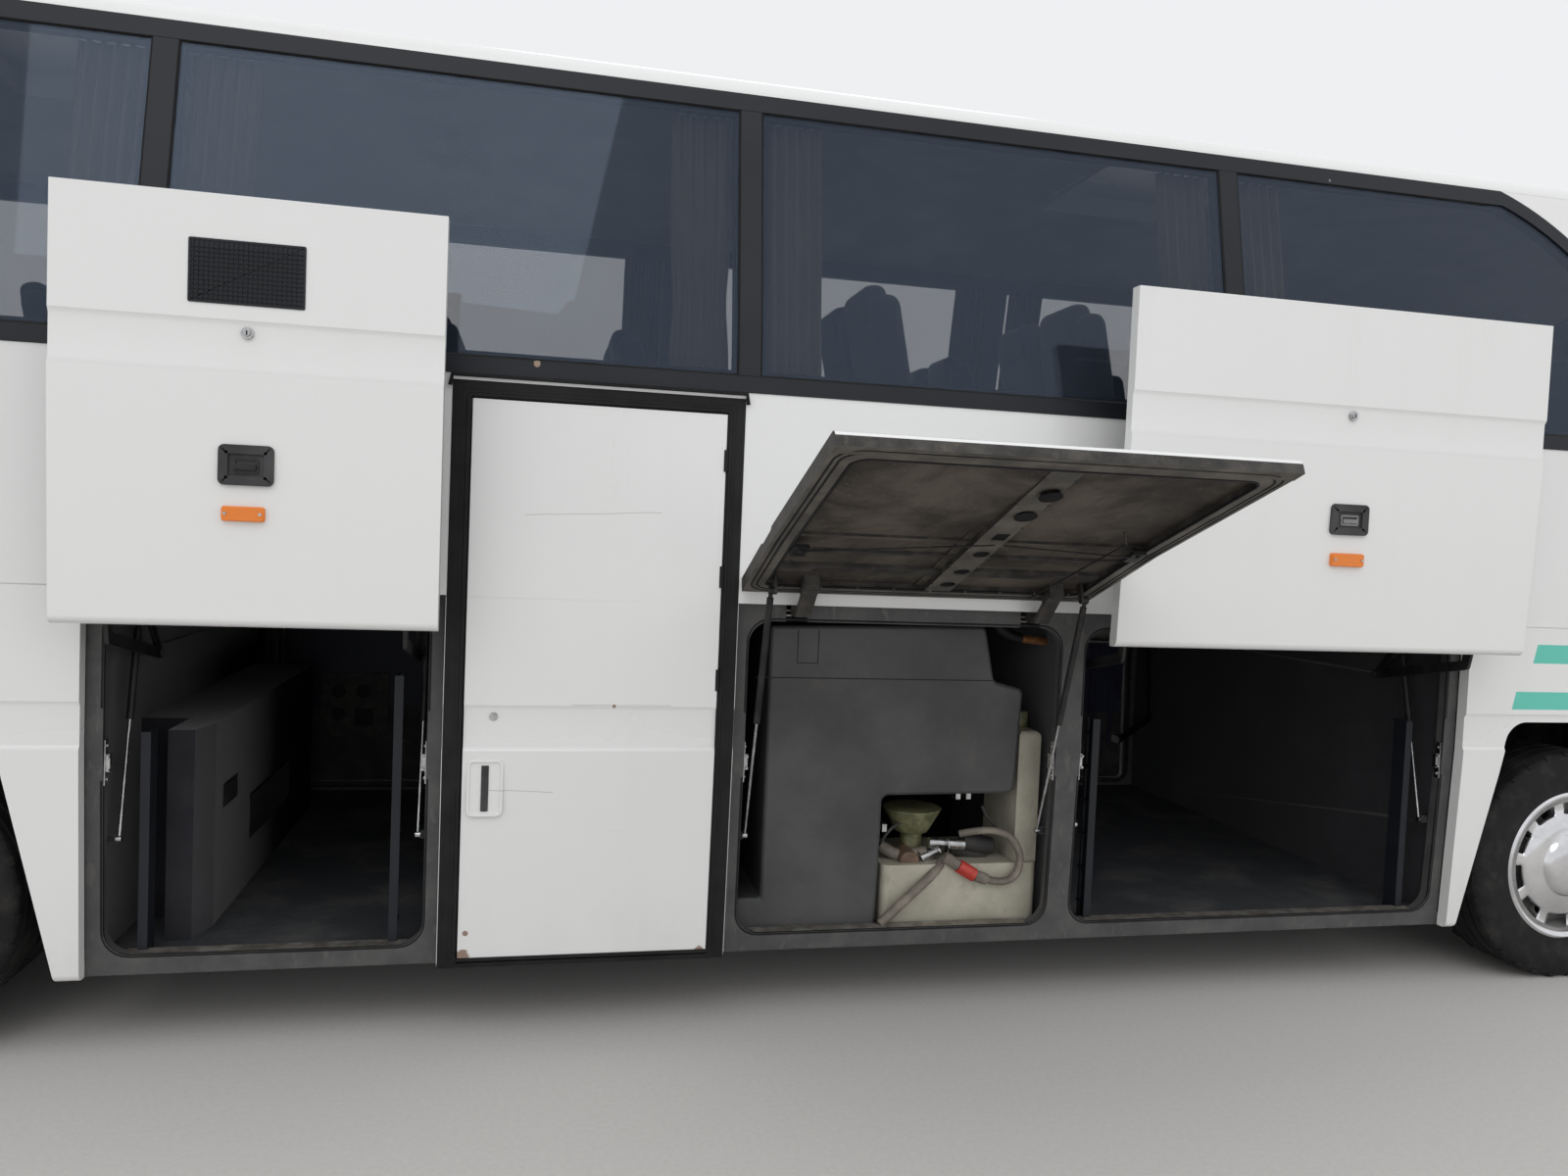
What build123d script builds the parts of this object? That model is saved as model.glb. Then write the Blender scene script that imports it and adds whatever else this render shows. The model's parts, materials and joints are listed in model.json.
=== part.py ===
# Touring coach of twelve metres, standing with its luggage and service flaps raised.
# The coach's own frame: X forward from mid-length, Y to its left, Z up from the road.
# Every piece is then written shifted by row_shift, so that the origin of the files is
# the middle of the whole box, raised flaps and mirrors included, on the road.
import os
from math import asin, atan2, cos, degrees, hypot, radians, sin, tan

from build123d import *

os.makedirs("parts", exist_ok=True)

# Body
length = 12000.0
width = 2500.0
wall = 45.0
skirt_z = 240.0
deck_z = 1435.0
deck_thick = 40.0
tuck_in = 30.0
tuck_top_z = 950.0
skirt_roll = 25.0
band_low_z = 950.0
band_high_z = 1085.0
band_deep = 8.0
band_slope = 9.0
seam_deep = 4.0
seam_wide = 3.0
lean_start_z = 2080.0
lean_end_z = 2380.0
lean = 11.0
cantrail_z = 3150.0
cantrail_radius = 90.0
roof_slope = 20.0
nose_bow = 140.0
nose_soft = 460.0
nose_corner = 380.0
plan_margin = 1.5
tail_corner = 240.0
half_long = length / 2
front_joint_x = half_long - 700
rear_joint_x = 380 - half_long
nose_soft_x = front_joint_x - 200
side_view_points = [
    (70 - half_long, -200),
    (-half_long, 1200),
    (140 - half_long, 3700),
    (front_joint_x - 600, 3700),
    (front_joint_x, 3380),
    (half_long - 360, 2860),
    (half_long, 1250),
    (half_long, 800),
    (half_long - 100, -200),
]
row_shift = (-38.0, 557.0, 0.0)

# Axles and wheels
wheelbase = 6070.0
front_axle_x = front_joint_x - 2000
rear_axle_x = front_axle_x - wheelbase
tyre_radius = 465.0
tyre_width = 276.0
rim_radius = 286.0
hub_z = tyre_radius
wheel_y = width / 2 - 195
twin_pitch = 312.0
wheel_hole_ring = 205.0
wheel_hole_count = 10
wheel_hole_radius = 24.0
kingpin_y = wheel_y - 175
kingpin_radius = 22.0
arch_low_half = 573.0
arch_knee_half = 437.0
arch_knee_z = 862.0
arch_top_z = 1058.0
arch_corner = 95.0
well_half = 600.0
well_top_z = 1090.0
well_inner_y = width / 2 - 690
well_skin = 12.0

# Luggage bays, service bay and doors, measured along X
bay_gap = 3.0
rear_bay = (rear_axle_x + 639, front_axle_x - 4407)
door_zone = (front_axle_x - 4405, front_axle_x - 3482)
service_bay = (front_axle_x - 3480, front_axle_x - 2247)
front_bay = (service_bay[1], front_axle_x - 613)
flap_low_z = 240.0
flap_top_z = 1428.0
flap_skin = 20.0
flap_rim = 60.0
frame_side = 48.0
frame_low = 60.0
frame_high = 56.0
frame_deep = 40.0
frame_back = 50.0
frame_corner = 80.0
bay_floor_z = 285.0
bulkhead = 24.0
running_gap = 5.0
seat_gap = 0.3
barrel_radius = 8.0
barrel_long = 70.0

# Flap linkage: u is measured outward from the skin, z up
flap_out = 270.0
flap_rise = 1100.0
arm_reach = 700.0
arm_foot_u = -100.0
arm_foot_z = 550.0
arm_knee = (455.0, 90.0)
arm_width = 36.0
foot_bracket_long = 53.0
arm_thick = 12.0
arm_lane = 106.0
lug_reach = 150.0
lug_ahead = 48.0
pin_radius = 9.0
strut_lane = 74.0
strut_foot_u = -120.0
strut_foot_z = 650.0
tube_radius = 11.0
rod_radius = 5.0
eye_radius = 13.0
eye_thick = 16.0
guard_lane = 146.0
guard_thick = 12.0
guard_deep = 66.0
guard_lip = 16.0
guard_bar = 9.0
guard_ribs = 6
side_box_x = rear_bay[0] + 281
side_box_top_z = 966.0
side_box_front_u = -240.0
side_box_back_y = 780.0

# Service flap on gooseneck hinges
goose_u = -26.0
goose_z = 1475.0
service_turn = 111.0
service_top_z = 1421.0
goose_xs = (service_bay[0] + 210, service_bay[1] - 173)
goose_wide = 50.0
goose_pin = 6.0
pocket_wide = 74.0
pocket_top_z = 1575.0
hinge_notch_z = 1290.0
service_strut_u = -78.0
service_strut_z = 1300.0
service_strut_foot_z = 630.0

# Windows
belt_low_z = 2125.0
glass_low_z = 2180.0
glass_high_z = 3090.0
pillar_wide = 72.0
pillar_pitch = 1805.0
pillar_first_x = front_joint_x - 9084
pillar_count = 4
window_rear_x = rear_joint_x + 60
sweep_start_x = front_joint_x - 2450
sweep_radius = 1200.0
sweep_first = 20.0
glass_depth = 3.0
glass_thick = 6.0
trim_proud = 4.0
lap = 18.0

# Doors
mid_leaf = (door_zone[0] + 62, door_zone[1] - 59)
mid_leaf_z = (260.0, 2050.0)
mid_surround_z = 2105.0
mid_hinge_zs = (1180.0, 1520.0, 1900.0)
front_leaf = (front_joint_x - 700, front_joint_x - 50)
front_leaf_z = (260.0, 2760.0)
door_turn = 115.0
door_ahead = 640.0
door_out = 150.0
post_radius = 20.0


def side_y(side, u):
    return side * (width / 2 + u)


def slab(xs, ys, zs, mode=Mode.ADD):
    with Locations(((xs[0] + xs[1]) / 2, (ys[0] + ys[1]) / 2, (zs[0] + zs[1]) / 2)):
        Box(xs[1] - xs[0], abs(ys[1] - ys[0]), zs[1] - zs[0], mode=mode)


def to_yz(side, point):
    return (side_y(side, point[0]), point[1])


# A round bar along X between two stations
def cross_pin(side, point, radius, xs, mode=Mode.ADD):
    y, z = to_yz(side, point)
    with Locations(Location((min(xs), y, z), (0, 90, 0))):
        Cylinder(radius, abs(xs[1] - xs[0]), align=(Align.CENTER, Align.CENTER, Align.MIN), mode=mode)


def link(p, q, wide):
    with Locations(((p[0] + q[0]) / 2, (p[1] + q[1]) / 2)):
        turn = degrees(atan2(q[1] - p[1], q[0] - p[0]))
        SlotCenterToCenter(hypot(q[0] - p[0], q[1] - p[1]), wide, rotation=turn)


def turned(point, centre, angle):
    c, s = cos(radians(angle)), sin(radians(angle))
    du, dz = point[0] - centre[0], point[1] - centre[1]
    return (centre[0] + du * c - dz * s, centre[1] + du * s + dz * c)


def write(piece, node):
    piece = Location(row_shift) * piece
    piece.label = node
    export_step(piece, f"parts/{node}.step")


# A closed clockwise outline moved inwards by a depth, corner by corner
def inset(points, depth):
    moved = []
    for before, here, after in zip(points[-1:] + points[:-1], points, points[1:] + points[:1]):
        a, b = Vector(*here) - Vector(*before), Vector(*after) - Vector(*here)
        a, b = a.normalized(), b.normalized()
        inward_a, inward_b = Vector(a.Y, -a.X), Vector(b.Y, -b.X)
        moved.append(Vector(*here) + (inward_a + inward_b) * (depth / (1 + inward_a.dot(inward_b))))
    return moved


# The body's form, drawn inwards by a depth: a section along X, cut to the plan and side views
def body_form(depth, closed):
    side, low = width / 2 - depth, skirt_z + depth if closed else 0
    with BuildPart() as form:
        with BuildSketch(Plane.YZ.offset(-length)) as section:
            with BuildLine():
                low_side = side - tuck_in * (tuck_top_z - low) / (tuck_top_z - skirt_z)
                Polyline((0, low), (low_side, low), (side, tuck_top_z), (side, lean_start_z))
                lean_radius = (lean_end_z - lean_start_z) / sin(radians(lean)) - depth
                bend = JernArc((side, lean_start_z), (0, 1), lean_radius, lean)
                rise = cantrail_z - lean_end_z
                top = bend @ 1 + Vector(-rise * tan(radians(lean)), rise)
                Line(bend @ 1, top)
                edge = JernArc(top, bend % 1, max(cantrail_radius - depth, 10), 90 - roof_slope - lean)
                roof_radius = (edge @ 1).X / sin(radians(roof_slope))
                JernArc(edge @ 1, edge % 1, roof_radius, roof_slope)
                mirror(about=Plane.YZ)
            make_face()
            if closed and depth < skirt_roll:
                fillet(section.vertices().sort_by(Axis.Y)[:2], radius=skirt_roll - depth)
        extrude(amount=2 * length)
        with BuildSketch(Plane.XY) as plan:
            nose_x, tail_x, edge_y = length / 2 - depth, depth - length / 2, side + plan_margin
            bow_x = nose_x - nose_bow
            with BuildLine():
                Polyline((bow_x, edge_y), (tail_x, edge_y), (tail_x, -edge_y), (bow_x, -edge_y))
                ThreePointArc((bow_x, -edge_y), (nose_x, 0), (bow_x, edge_y))
            make_face()
            fillet(plan.vertices().sort_by(Axis.X)[:2], radius=tail_corner - depth)
            fillet(plan.vertices().sort_by(Axis.X)[-2:], radius=nose_corner - depth)
        extrude(amount=length, mode=Mode.INTERSECT)
        with BuildSketch(Plane.XZ) as side_view:
            with BuildLine():
                Polyline(*inset(side_view_points, depth), close=True)
            make_face()
            soft = side_view.vertices().filter_by(lambda v: v.X > nose_soft_x and v.Y > 600)
            fillet(soft, radius=nose_soft - depth)
        extrude(amount=length, both=True, mode=Mode.INTERSECT)
    return form.part


# A skin between two depths, open below unless it is the shell itself
def layer(shallow, deep, closed=False):
    with BuildPart() as skin:
        add(body_form(shallow, closed))
        add(body_form(deep, closed), mode=Mode.SUBTRACT)
    return skin.part


# The piece of a skin that lies on one side within a rectangle of the side view
def side_patch(skin, side, xs, zs):
    with BuildPart() as patch:
        add(skin)
        slab(xs, sorted((side * 800, side * 1400)), zs, mode=Mode.INTERSECT)
        slab((-length, length), (-belly_half, belly_half), (0, 800), mode=Mode.SUBTRACT)
    return patch.part


belly_half = width / 2 - tuck_in - wall
pane_ends = [(pillar_first_x + pillar_pitch * i) for i in range(pillar_count)]
pane_starts = [window_rear_x + lap] + [x + pillar_wide / 2 for x in pane_ends]
pane_stops = [x - pillar_wide / 2 for x in pane_ends] + [front_leaf[0]]
panes = list(zip(pane_starts[:-1], pane_stops[:-1])) + [(pane_starts[-1], front_leaf[0])]


# Outline of the window band: straight above and below, ending in the sweep towards the front
def window_zone(inset):
    low, high = belt_low_z + inset, cantrail_z - inset
    centre_z = cantrail_z - sweep_radius * cos(radians(sweep_first))
    centre_x = sweep_start_x - sweep_radius * sin(radians(sweep_first))
    radius = sweep_radius - inset
    start_x = centre_x + (radius**2 - (high - centre_z) ** 2) ** 0.5
    end_x = centre_x + (radius**2 - (low - centre_z) ** 2) ** 0.5
    middle = radians(45)
    with BuildSketch(Plane.XZ) as zone:
        with BuildLine():
            rear_x = window_rear_x + inset
            Polyline((start_x, high), (rear_x, high), (rear_x, low), (end_x, low))
            ThreePointArc(
                (end_x, low),
                (centre_x + radius * cos(middle), centre_z + radius * sin(middle)),
                (start_x, high),
            )
        make_face()
    return zone.sketch


def pane_prism(xs, grow):
    with BuildPart() as prism:
        with BuildSketch(Plane.XZ):
            add(window_zone(glass_low_z - belt_low_z - grow))
            with Locations(((xs[0] + xs[1]) / 2, (glass_low_z + glass_high_z) / 2)):
                high = glass_high_z - glass_low_z + 2 * grow
                Rectangle(xs[1] - xs[0] + 2 * grow, high, mode=Mode.INTERSECT)
        extrude(amount=width, both=True)
    return prism.part


print("skins")
shell = layer(0, wall, closed=True)
with BuildPart() as shell_part:
    add(shell)
    with BuildPart(mode=Mode.PRIVATE) as groove_part:
        with BuildSketch(Plane.YZ.offset(rear_joint_x)):
            outer = width / 2 + 2
            inner = width / 2 - band_deep
            with BuildLine():
                Polyline(
                    (outer, band_low_z - band_slope),
                    (inner, band_low_z + band_slope),
                    (inner, band_high_z - band_slope),
                    (outer, band_high_z + band_slope),
                    close=True,
                )
            make_face()
            with Locations((outer, (flap_top_z + deck_z) / 2)):
                Rectangle(2 * seam_deep + 4, seam_wide)
            mirror(about=Plane.YZ)
        extrude(amount=front_joint_x - rear_joint_x)
    add(groove_part.part, mode=Mode.SUBTRACT)
shell = shell_part.part
frame_skin = layer(frame_back, frame_back + frame_deep)
pocket_skin = layer(flap_skin, wall + 60)
glass_skin = layer(glass_depth, glass_depth + glass_thick)
trim_skin = layer(-trim_proud, glass_depth + glass_thick)
recess_skin = layer(-60, glass_depth + glass_thick + seat_gap)
bays = {-1: [rear_bay, service_bay, front_bay], 1: [rear_bay, front_bay]}
axle_xs = (front_axle_x, rear_axle_x)


# Wheel arch outline, as a cutter through one side
def arch_cutter(side, axle_x):
    with BuildPart() as cutter:
        with BuildSketch(Plane.XZ.offset(-side_y(side, -100))) as opening:
            with BuildLine():
                Polyline(
                    (axle_x - arch_low_half, skirt_z - 5),
                    (axle_x - arch_knee_half, arch_knee_z),
                    (axle_x - arch_knee_half + 36, arch_top_z),
                    (axle_x + arch_knee_half - 36, arch_top_z),
                    (axle_x + arch_knee_half, arch_knee_z),
                    (axle_x + arch_low_half, skirt_z - 5),
                    close=True,
                )
            make_face()
            fillet(opening.vertices().group_by(Axis.Y)[-1], radius=arch_corner)
        extrude(amount=300, both=True)
    return cutter.part


print("walls")
full_zone = window_zone(0)
with BuildPart() as zone_part:
    with BuildSketch(Plane.XZ):
        add(full_zone)
    extrude(amount=width, both=True)
pane_holes = [pane_prism(xs, -lap) for xs in panes]
pane_shapes = [pane_prism(xs, 0) for xs in panes]
glass_shapes = [pane_prism(xs, -seat_gap) for xs in panes]

driver_window = ((front_joint_x - 1000, front_joint_x - 150), (1800.0, 2780.0))


def rounded_prism(xs, zs, radius):
    with BuildPart() as prism:
        with BuildSketch(Plane.XZ):
            with Locations(((xs[0] + xs[1]) / 2, (zs[0] + zs[1]) / 2)):
                RectangleRounded(xs[1] - xs[0], zs[1] - zs[0], radius)
        extrude(amount=width, both=True)
    return prism.part


for side, node in ((-1, "right_wall"), (1, "left_wall")):
    with BuildPart() as panel:
        add(side_patch(shell, side, (rear_joint_x, front_joint_x), (0, cantrail_z)))
        for axle_x in axle_xs:
            add(arch_cutter(side, axle_x), mode=Mode.SUBTRACT)
        for x0, x1 in bays[side]:
            slab((x0, x1), (side * 900, side * 1400), (0, deck_z), mode=Mode.SUBTRACT)
        with BuildPart(mode=Mode.PRIVATE) as recess:
            add(recess_skin)
            add(zone_part.part, mode=Mode.INTERSECT)
            slab((-length, length), (side * 700, side * 1400), (0, 4000), mode=Mode.INTERSECT)
        add(recess.part, mode=Mode.SUBTRACT)
        for hole in pane_holes:
            add(hole, mode=Mode.SUBTRACT)
        if side < 0:
            slab(door_zone, (-900, -1400), (0, mid_surround_z), mode=Mode.SUBTRACT)
            leaf_xs = (front_leaf[0] - running_gap, front_leaf[1] + seat_gap)
            slab(leaf_xs, (-900, -1400), (0, front_leaf_z[1] + running_gap), mode=Mode.SUBTRACT)
            for x in goose_xs:
                slab(
                    (x - pocket_wide / 2, x + pocket_wide / 2),
                    (-width / 2 + 8, -1100),
                    (deck_z, pocket_top_z),
                    mode=Mode.SUBTRACT,
                )
                cross_pin(side, (goose_u, goose_z), goose_pin, (x - pocket_wide / 2, x + pocket_wide / 2))
        else:
            add(rounded_prism(*driver_window, 90), mode=Mode.SUBTRACT)
    write(panel.part, node)

print("roof and masks")
hatch_xs = (rear_joint_x + 3020, front_joint_x - 3400)
hatch_half = 350.0
curb_thick = 30.0
curb_z = 3425.0
with BuildPart() as roof:
    add(shell)
    slab((rear_joint_x, front_joint_x), (-width, width), (cantrail_z, 4000), mode=Mode.INTERSECT)
    for x in hatch_xs:
        outer_half = hatch_half + curb_thick
        slab((x - outer_half, x + outer_half), (-outer_half, outer_half), (3340, curb_z))
        slab((x - hatch_half, x + hatch_half), (-hatch_half, hatch_half), (3200, 3600), mode=Mode.SUBTRACT)
write(roof.part, "roof")
for x, node in zip(hatch_xs, ("rear_roof_hatch", "front_roof_hatch")):
    with BuildPart() as hatch:
        half = hatch_half + curb_thick + 10
        slab((x - half, x + half), (-half, half), (curb_z + seat_gap, curb_z + 40))
        fillet(hatch.edges().filter_by(Axis.Z), radius=40)
        fillet(hatch.faces().sort_by(Axis.Z)[-1].edges(), radius=12)
        for y in (-hatch_half * 0.7, 0, hatch_half * 0.7):
            with Locations(Location((x + half, y, curb_z + seat_gap / 2), (90, 0, 0))):
                Cylinder(barrel_radius, barrel_long)
    write(hatch.part, node)


def facing_prism(ys, zs, radius, xs):
    with BuildPart() as prism:
        with BuildSketch(Plane.YZ.offset(xs[0])):
            with Locations(((ys[0] + ys[1]) / 2, (zs[0] + zs[1]) / 2)):
                RectangleRounded(ys[1] - ys[0], zs[1] - zs[0], radius)
        extrude(amount=xs[1] - xs[0])
    return prism.part


screen = ((130 - width / 2, width / 2 - 130), (1190.0, 3000.0))
rear_window = ((300 - width / 2, width / 2 - 300), (2150.0, 2960.0))
engine_door = ((430 - width / 2, width / 2 - 430), (560.0, 1500.0))
nose_xs = (front_joint_x, length / 2 + 100)
tail_xs = (-length / 2 - 100, rear_joint_x)
head_lamp = ((width / 2 - 610, width / 2 - 160), (500.0, 700.0))
tail_lamp = ((width / 2 - 320, width / 2 - 120), (620.0, 1240.0))

lamp_skin = layer(-2, 30)
louvre_high = 22.0
louvre_zs = [1240.0 - 55.0 * i for i in range(8)]


# Distance of the tail's skin from mid-length at a height above its widest
def tail_x_at(z):
    (x_wide, z_wide), (x_top, z_top) = side_view_points[1:3]
    return -(x_wide + (x_top - x_wide) * (z - z_wide) / (z_top - z_wide))


def lamp_prisms(lamp, xs, grow):
    (y0, y1), (z0, z1) = lamp
    ys = ((-y1 - grow, -y0 + grow), (y0 - grow, y1 + grow))
    return [facing_prism(y, (z0 - grow, z1 + grow), 60, xs) for y in ys]


with BuildPart() as nose:
    add(shell)
    slab(nose_xs, (-width, width), (0, 4000), mode=Mode.INTERSECT)
    add(facing_prism(*screen, 130, nose_xs), mode=Mode.SUBTRACT)
    for prism in lamp_prisms(head_lamp, nose_xs, seat_gap):
        add(prism, mode=Mode.SUBTRACT)
write(nose.part, "front_mask")
with BuildPart() as tail:
    add(shell)
    slab(tail_xs, (-width, width), (0, 4000), mode=Mode.INTERSECT)
    add(facing_prism(*rear_window, 90, tail_xs), mode=Mode.SUBTRACT)
    (y0, y1), (z0, z1) = engine_door
    slab(tail_xs, (y0 - running_gap, y1 + running_gap), (z0 - running_gap, z1 + seat_gap), mode=Mode.SUBTRACT)
    for prism in lamp_prisms(tail_lamp, tail_xs, seat_gap):
        add(prism, mode=Mode.SUBTRACT)
    lid_hinge = (-tail_x_at(z1), z1 + seat_gap / 2)
    for y in (0.6 * y0, 0.6 * y1):
        with Locations(Location((lid_hinge[0], y, lid_hinge[1]), (90, 0, 0))):
            Cylinder(barrel_radius + running_gap, barrel_long + 2 * running_gap, mode=Mode.SUBTRACT)
write(tail.part, "rear_mask")
with BuildPart() as engine_lid:
    add(shell)
    slab(tail_xs, *engine_door, mode=Mode.INTERSECT)
    for z in louvre_zs:
        slab(tail_xs, (0.7 * y0, 0.7 * y1), (z, z + louvre_high), mode=Mode.SUBTRACT)
    for y in (0.6 * y0, 0.6 * y1):
        with Locations(Location((lid_hinge[0], y, lid_hinge[1]), (90, 0, 0))):
            Cylinder(barrel_radius, barrel_long)
write(engine_lid.part, "engine_door")
with BuildPart() as lamps:
    for prism in lamp_prisms(head_lamp, nose_xs, 0) + lamp_prisms(tail_lamp, tail_xs, 0):
        with BuildPart(mode=Mode.PRIVATE) as lamp:
            add(lamp_skin)
            add(prism, mode=Mode.INTERSECT)
        add(lamp.part)
write(lamps.part, "lamps")

print("glass")
with BuildPart() as glazing:
    prisms = [facing_prism(*screen, 130, nose_xs), facing_prism(*rear_window, 90, tail_xs)]
    for prism in prisms:
        with BuildPart(mode=Mode.PRIVATE) as pane:
            add(glass_skin)
            add(prism, mode=Mode.INTERSECT)
        add(pane.part)
    for side in (-1, 1):
        with BuildPart(mode=Mode.PRIVATE) as one_side:
            add(glass_skin)
            slab((rear_joint_x, front_joint_x), (side * 700, side * 1400), (1500, 3400), mode=Mode.INTERSECT)
        for shape in glass_shapes:
            with BuildPart(mode=Mode.PRIVATE) as pane:
                add(one_side.part)
                add(shape, mode=Mode.INTERSECT)
            add(pane.part)
        if side > 0:
            with BuildPart(mode=Mode.PRIVATE) as pane:
                add(one_side.part)
                add(rounded_prism(*driver_window, 90), mode=Mode.INTERSECT)
            add(pane.part)
write(glazing.part, "glazing")
with BuildPart() as trim:
    with BuildPart(mode=Mode.PRIVATE) as band:
        add(trim_skin)
        add(zone_part.part, mode=Mode.INTERSECT)
        for shape in pane_shapes:
            add(shape, mode=Mode.SUBTRACT)
    add(band.part)
write(trim.part, "window_trim")

print("bays")
frame_y = width / 2 - frame_back - frame_deep - tuck_in
chord = hypot(flap_out, flap_rise)
swing = 2 * degrees(asin(chord / 2 / arm_reach))
closed_angle = degrees(atan2(flap_rise, flap_out)) - 90 - swing / 2
foot = (arm_foot_u, arm_foot_z)
pivot = (
    foot[0] - arm_reach * cos(radians(closed_angle)),
    foot[1] - arm_reach * sin(radians(closed_angle)),
)
open_foot = (foot[0] + flap_out, foot[1] + flap_rise)
open_knee = (pivot[0] + arm_knee[0], pivot[1] + arm_knee[1])
open_lug = (
    pivot[0] + lug_reach * cos(radians(lug_ahead)),
    pivot[1] + lug_reach * sin(radians(lug_ahead)),
)
strut_foot = (strut_foot_u, strut_foot_z)
print("pivot u, z", pivot, "swing", swing, "closed angle", closed_angle)


# Stations along X inside a bay, counted inwards from each of its ends
def lanes(bay):
    return ((bay[0], 1), (bay[1], -1))


with BuildPart() as frames:
    for side in (-1, 1):
        for x0, x1 in bays[side]:
            with BuildPart(mode=Mode.PRIVATE) as ring:
                add(frame_skin)
                top_z = deck_z if (x0, x1) == service_bay else deck_z - bay_gap
                slab((x0, x1), (side * 900, side * 1400), (skirt_z, top_z), mode=Mode.INTERSECT)
                inner_xs = (x0 + frame_side, x1 - frame_side)
                inner_zs = (skirt_z + frame_low, deck_z - bay_gap - frame_high)
                add(rounded_prism(inner_xs, inner_zs, frame_corner), mode=Mode.SUBTRACT)
                if (x0, x1) == service_bay:
                    for x in goose_xs:
                        slab(
                            (x - pocket_wide / 2, x + pocket_wide / 2),
                            (side * 1000, side * 1400),
                            (hinge_notch_z, deck_z + 1),
                            mode=Mode.SUBTRACT,
                        )
            add(ring.part)
write(frames.part, "bay_frames")

wall_xs = [
    (rear_bay[0], rear_bay[0] + bulkhead),
    (rear_bay[1] - bulkhead, rear_bay[1]),
    (service_bay[0], service_bay[0] + bulkhead),
    (service_bay[1] - bulkhead / 2, service_bay[1] + bulkhead / 2),
    (front_bay[1] - bulkhead, front_bay[1]),
]
luggage_bays = [(-1, rear_bay), (-1, front_bay), (1, rear_bay), (1, front_bay)]
strut_bays = [(-1, rear_bay, strut_foot), (-1, front_bay, strut_foot)]
service_foot = (strut_foot_u, service_strut_foot_z)
with BuildPart() as bulkheads:
    for xs in wall_xs:
        slab(xs, (-frame_y, frame_y), (bay_floor_z, deck_z))
    slab((service_bay[0] + bulkhead, service_bay[1] - bulkhead / 2), (-120, -96), (bay_floor_z, deck_z))
    for side, bay in luggage_bays:
        for end, inward in lanes(bay):
            far = end + inward * (arm_lane + arm_thick / 2)
            cross_pin(side, pivot, pin_radius, sorted((end + inward * bulkhead / 2, far)))
    for side, bay, point in strut_bays + [(-1, service_bay, service_foot)]:
        for end, inward in lanes(bay):
            near = end + inward * (strut_lane - eye_thick / 2 - seat_gap)
            cross_pin(side, point, eye_radius, sorted((end + inward * bulkhead / 2, near)))
    with BuildSketch(Plane.XY.offset(bay_floor_z)):
        box_front = side_y(-1, side_box_front_u)
        guard_x = rear_bay[0] + guard_lane + guard_thick + 14
        with BuildLine():
            Polyline(
                (rear_bay[0], -side_box_back_y),
                (guard_x, -side_box_back_y),
                (guard_x, box_front),
                (side_box_x - 30, box_front),
                (side_box_x, box_front + 130),
                (side_box_x, side_box_back_y),
                (rear_bay[0], side_box_back_y),
                close=True,
            )
        make_face()
    extrude(amount=side_box_top_z - bay_floor_z)
write(bulkheads.part, "bulkheads")

guard_tops = {rear_bay: (980.0, 1165.0), front_bay: (1040.0, 1040.0)}
with BuildPart() as guards:
    for bay, tops in guard_tops.items():
        for (end, inward), top_z in zip(lanes(bay), tops):
            near, far = end + inward * guard_lane, end + inward * (guard_lane + guard_thick)
            front_y = -frame_y
            lip_x = near - inward * guard_lip
            slab(sorted((near, far)), (front_y, front_y + guard_deep), (bay_floor_z, top_z))
            slab(sorted((lip_x, far)), (front_y, front_y + 8), (bay_floor_z, top_z))
            with Locations((near, front_y + guard_deep, bay_floor_z)):
                Cylinder(guard_bar, top_z - bay_floor_z, align=(Align.CENTER, Align.CENTER, Align.MIN))
            for i in range(guard_ribs):
                rib_z = bay_floor_z + (top_z - bay_floor_z) * (i + 0.5) / guard_ribs
                slab(sorted((lip_x, near)), (front_y, front_y + guard_deep), (rib_z, rib_z + 8))
write(guards.part, "arm_guards")

step_rise = 230.0
step_tread = 220.0
step_count = 4
with BuildPart() as bay_floor:
    slab((rear_bay[0], front_bay[1]), (-frame_y, frame_y), (skirt_z, bay_floor_z))
    for i in range(step_count):
        y = -frame_y + 120 + step_tread * i
        xs = (door_zone[0] + 2, door_zone[1] - 2)
        slab(xs, (y, y + step_tread), (bay_floor_z, bay_floor_z + step_rise * (i + 1)))
    sill_y = -(belly_half - running_gap)
    slab((door_zone[0] + 2, door_zone[1] - 2), (sill_y, -frame_y), (skirt_z + 10, bay_floor_z))
write(bay_floor.part, "bay_floor")

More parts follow.
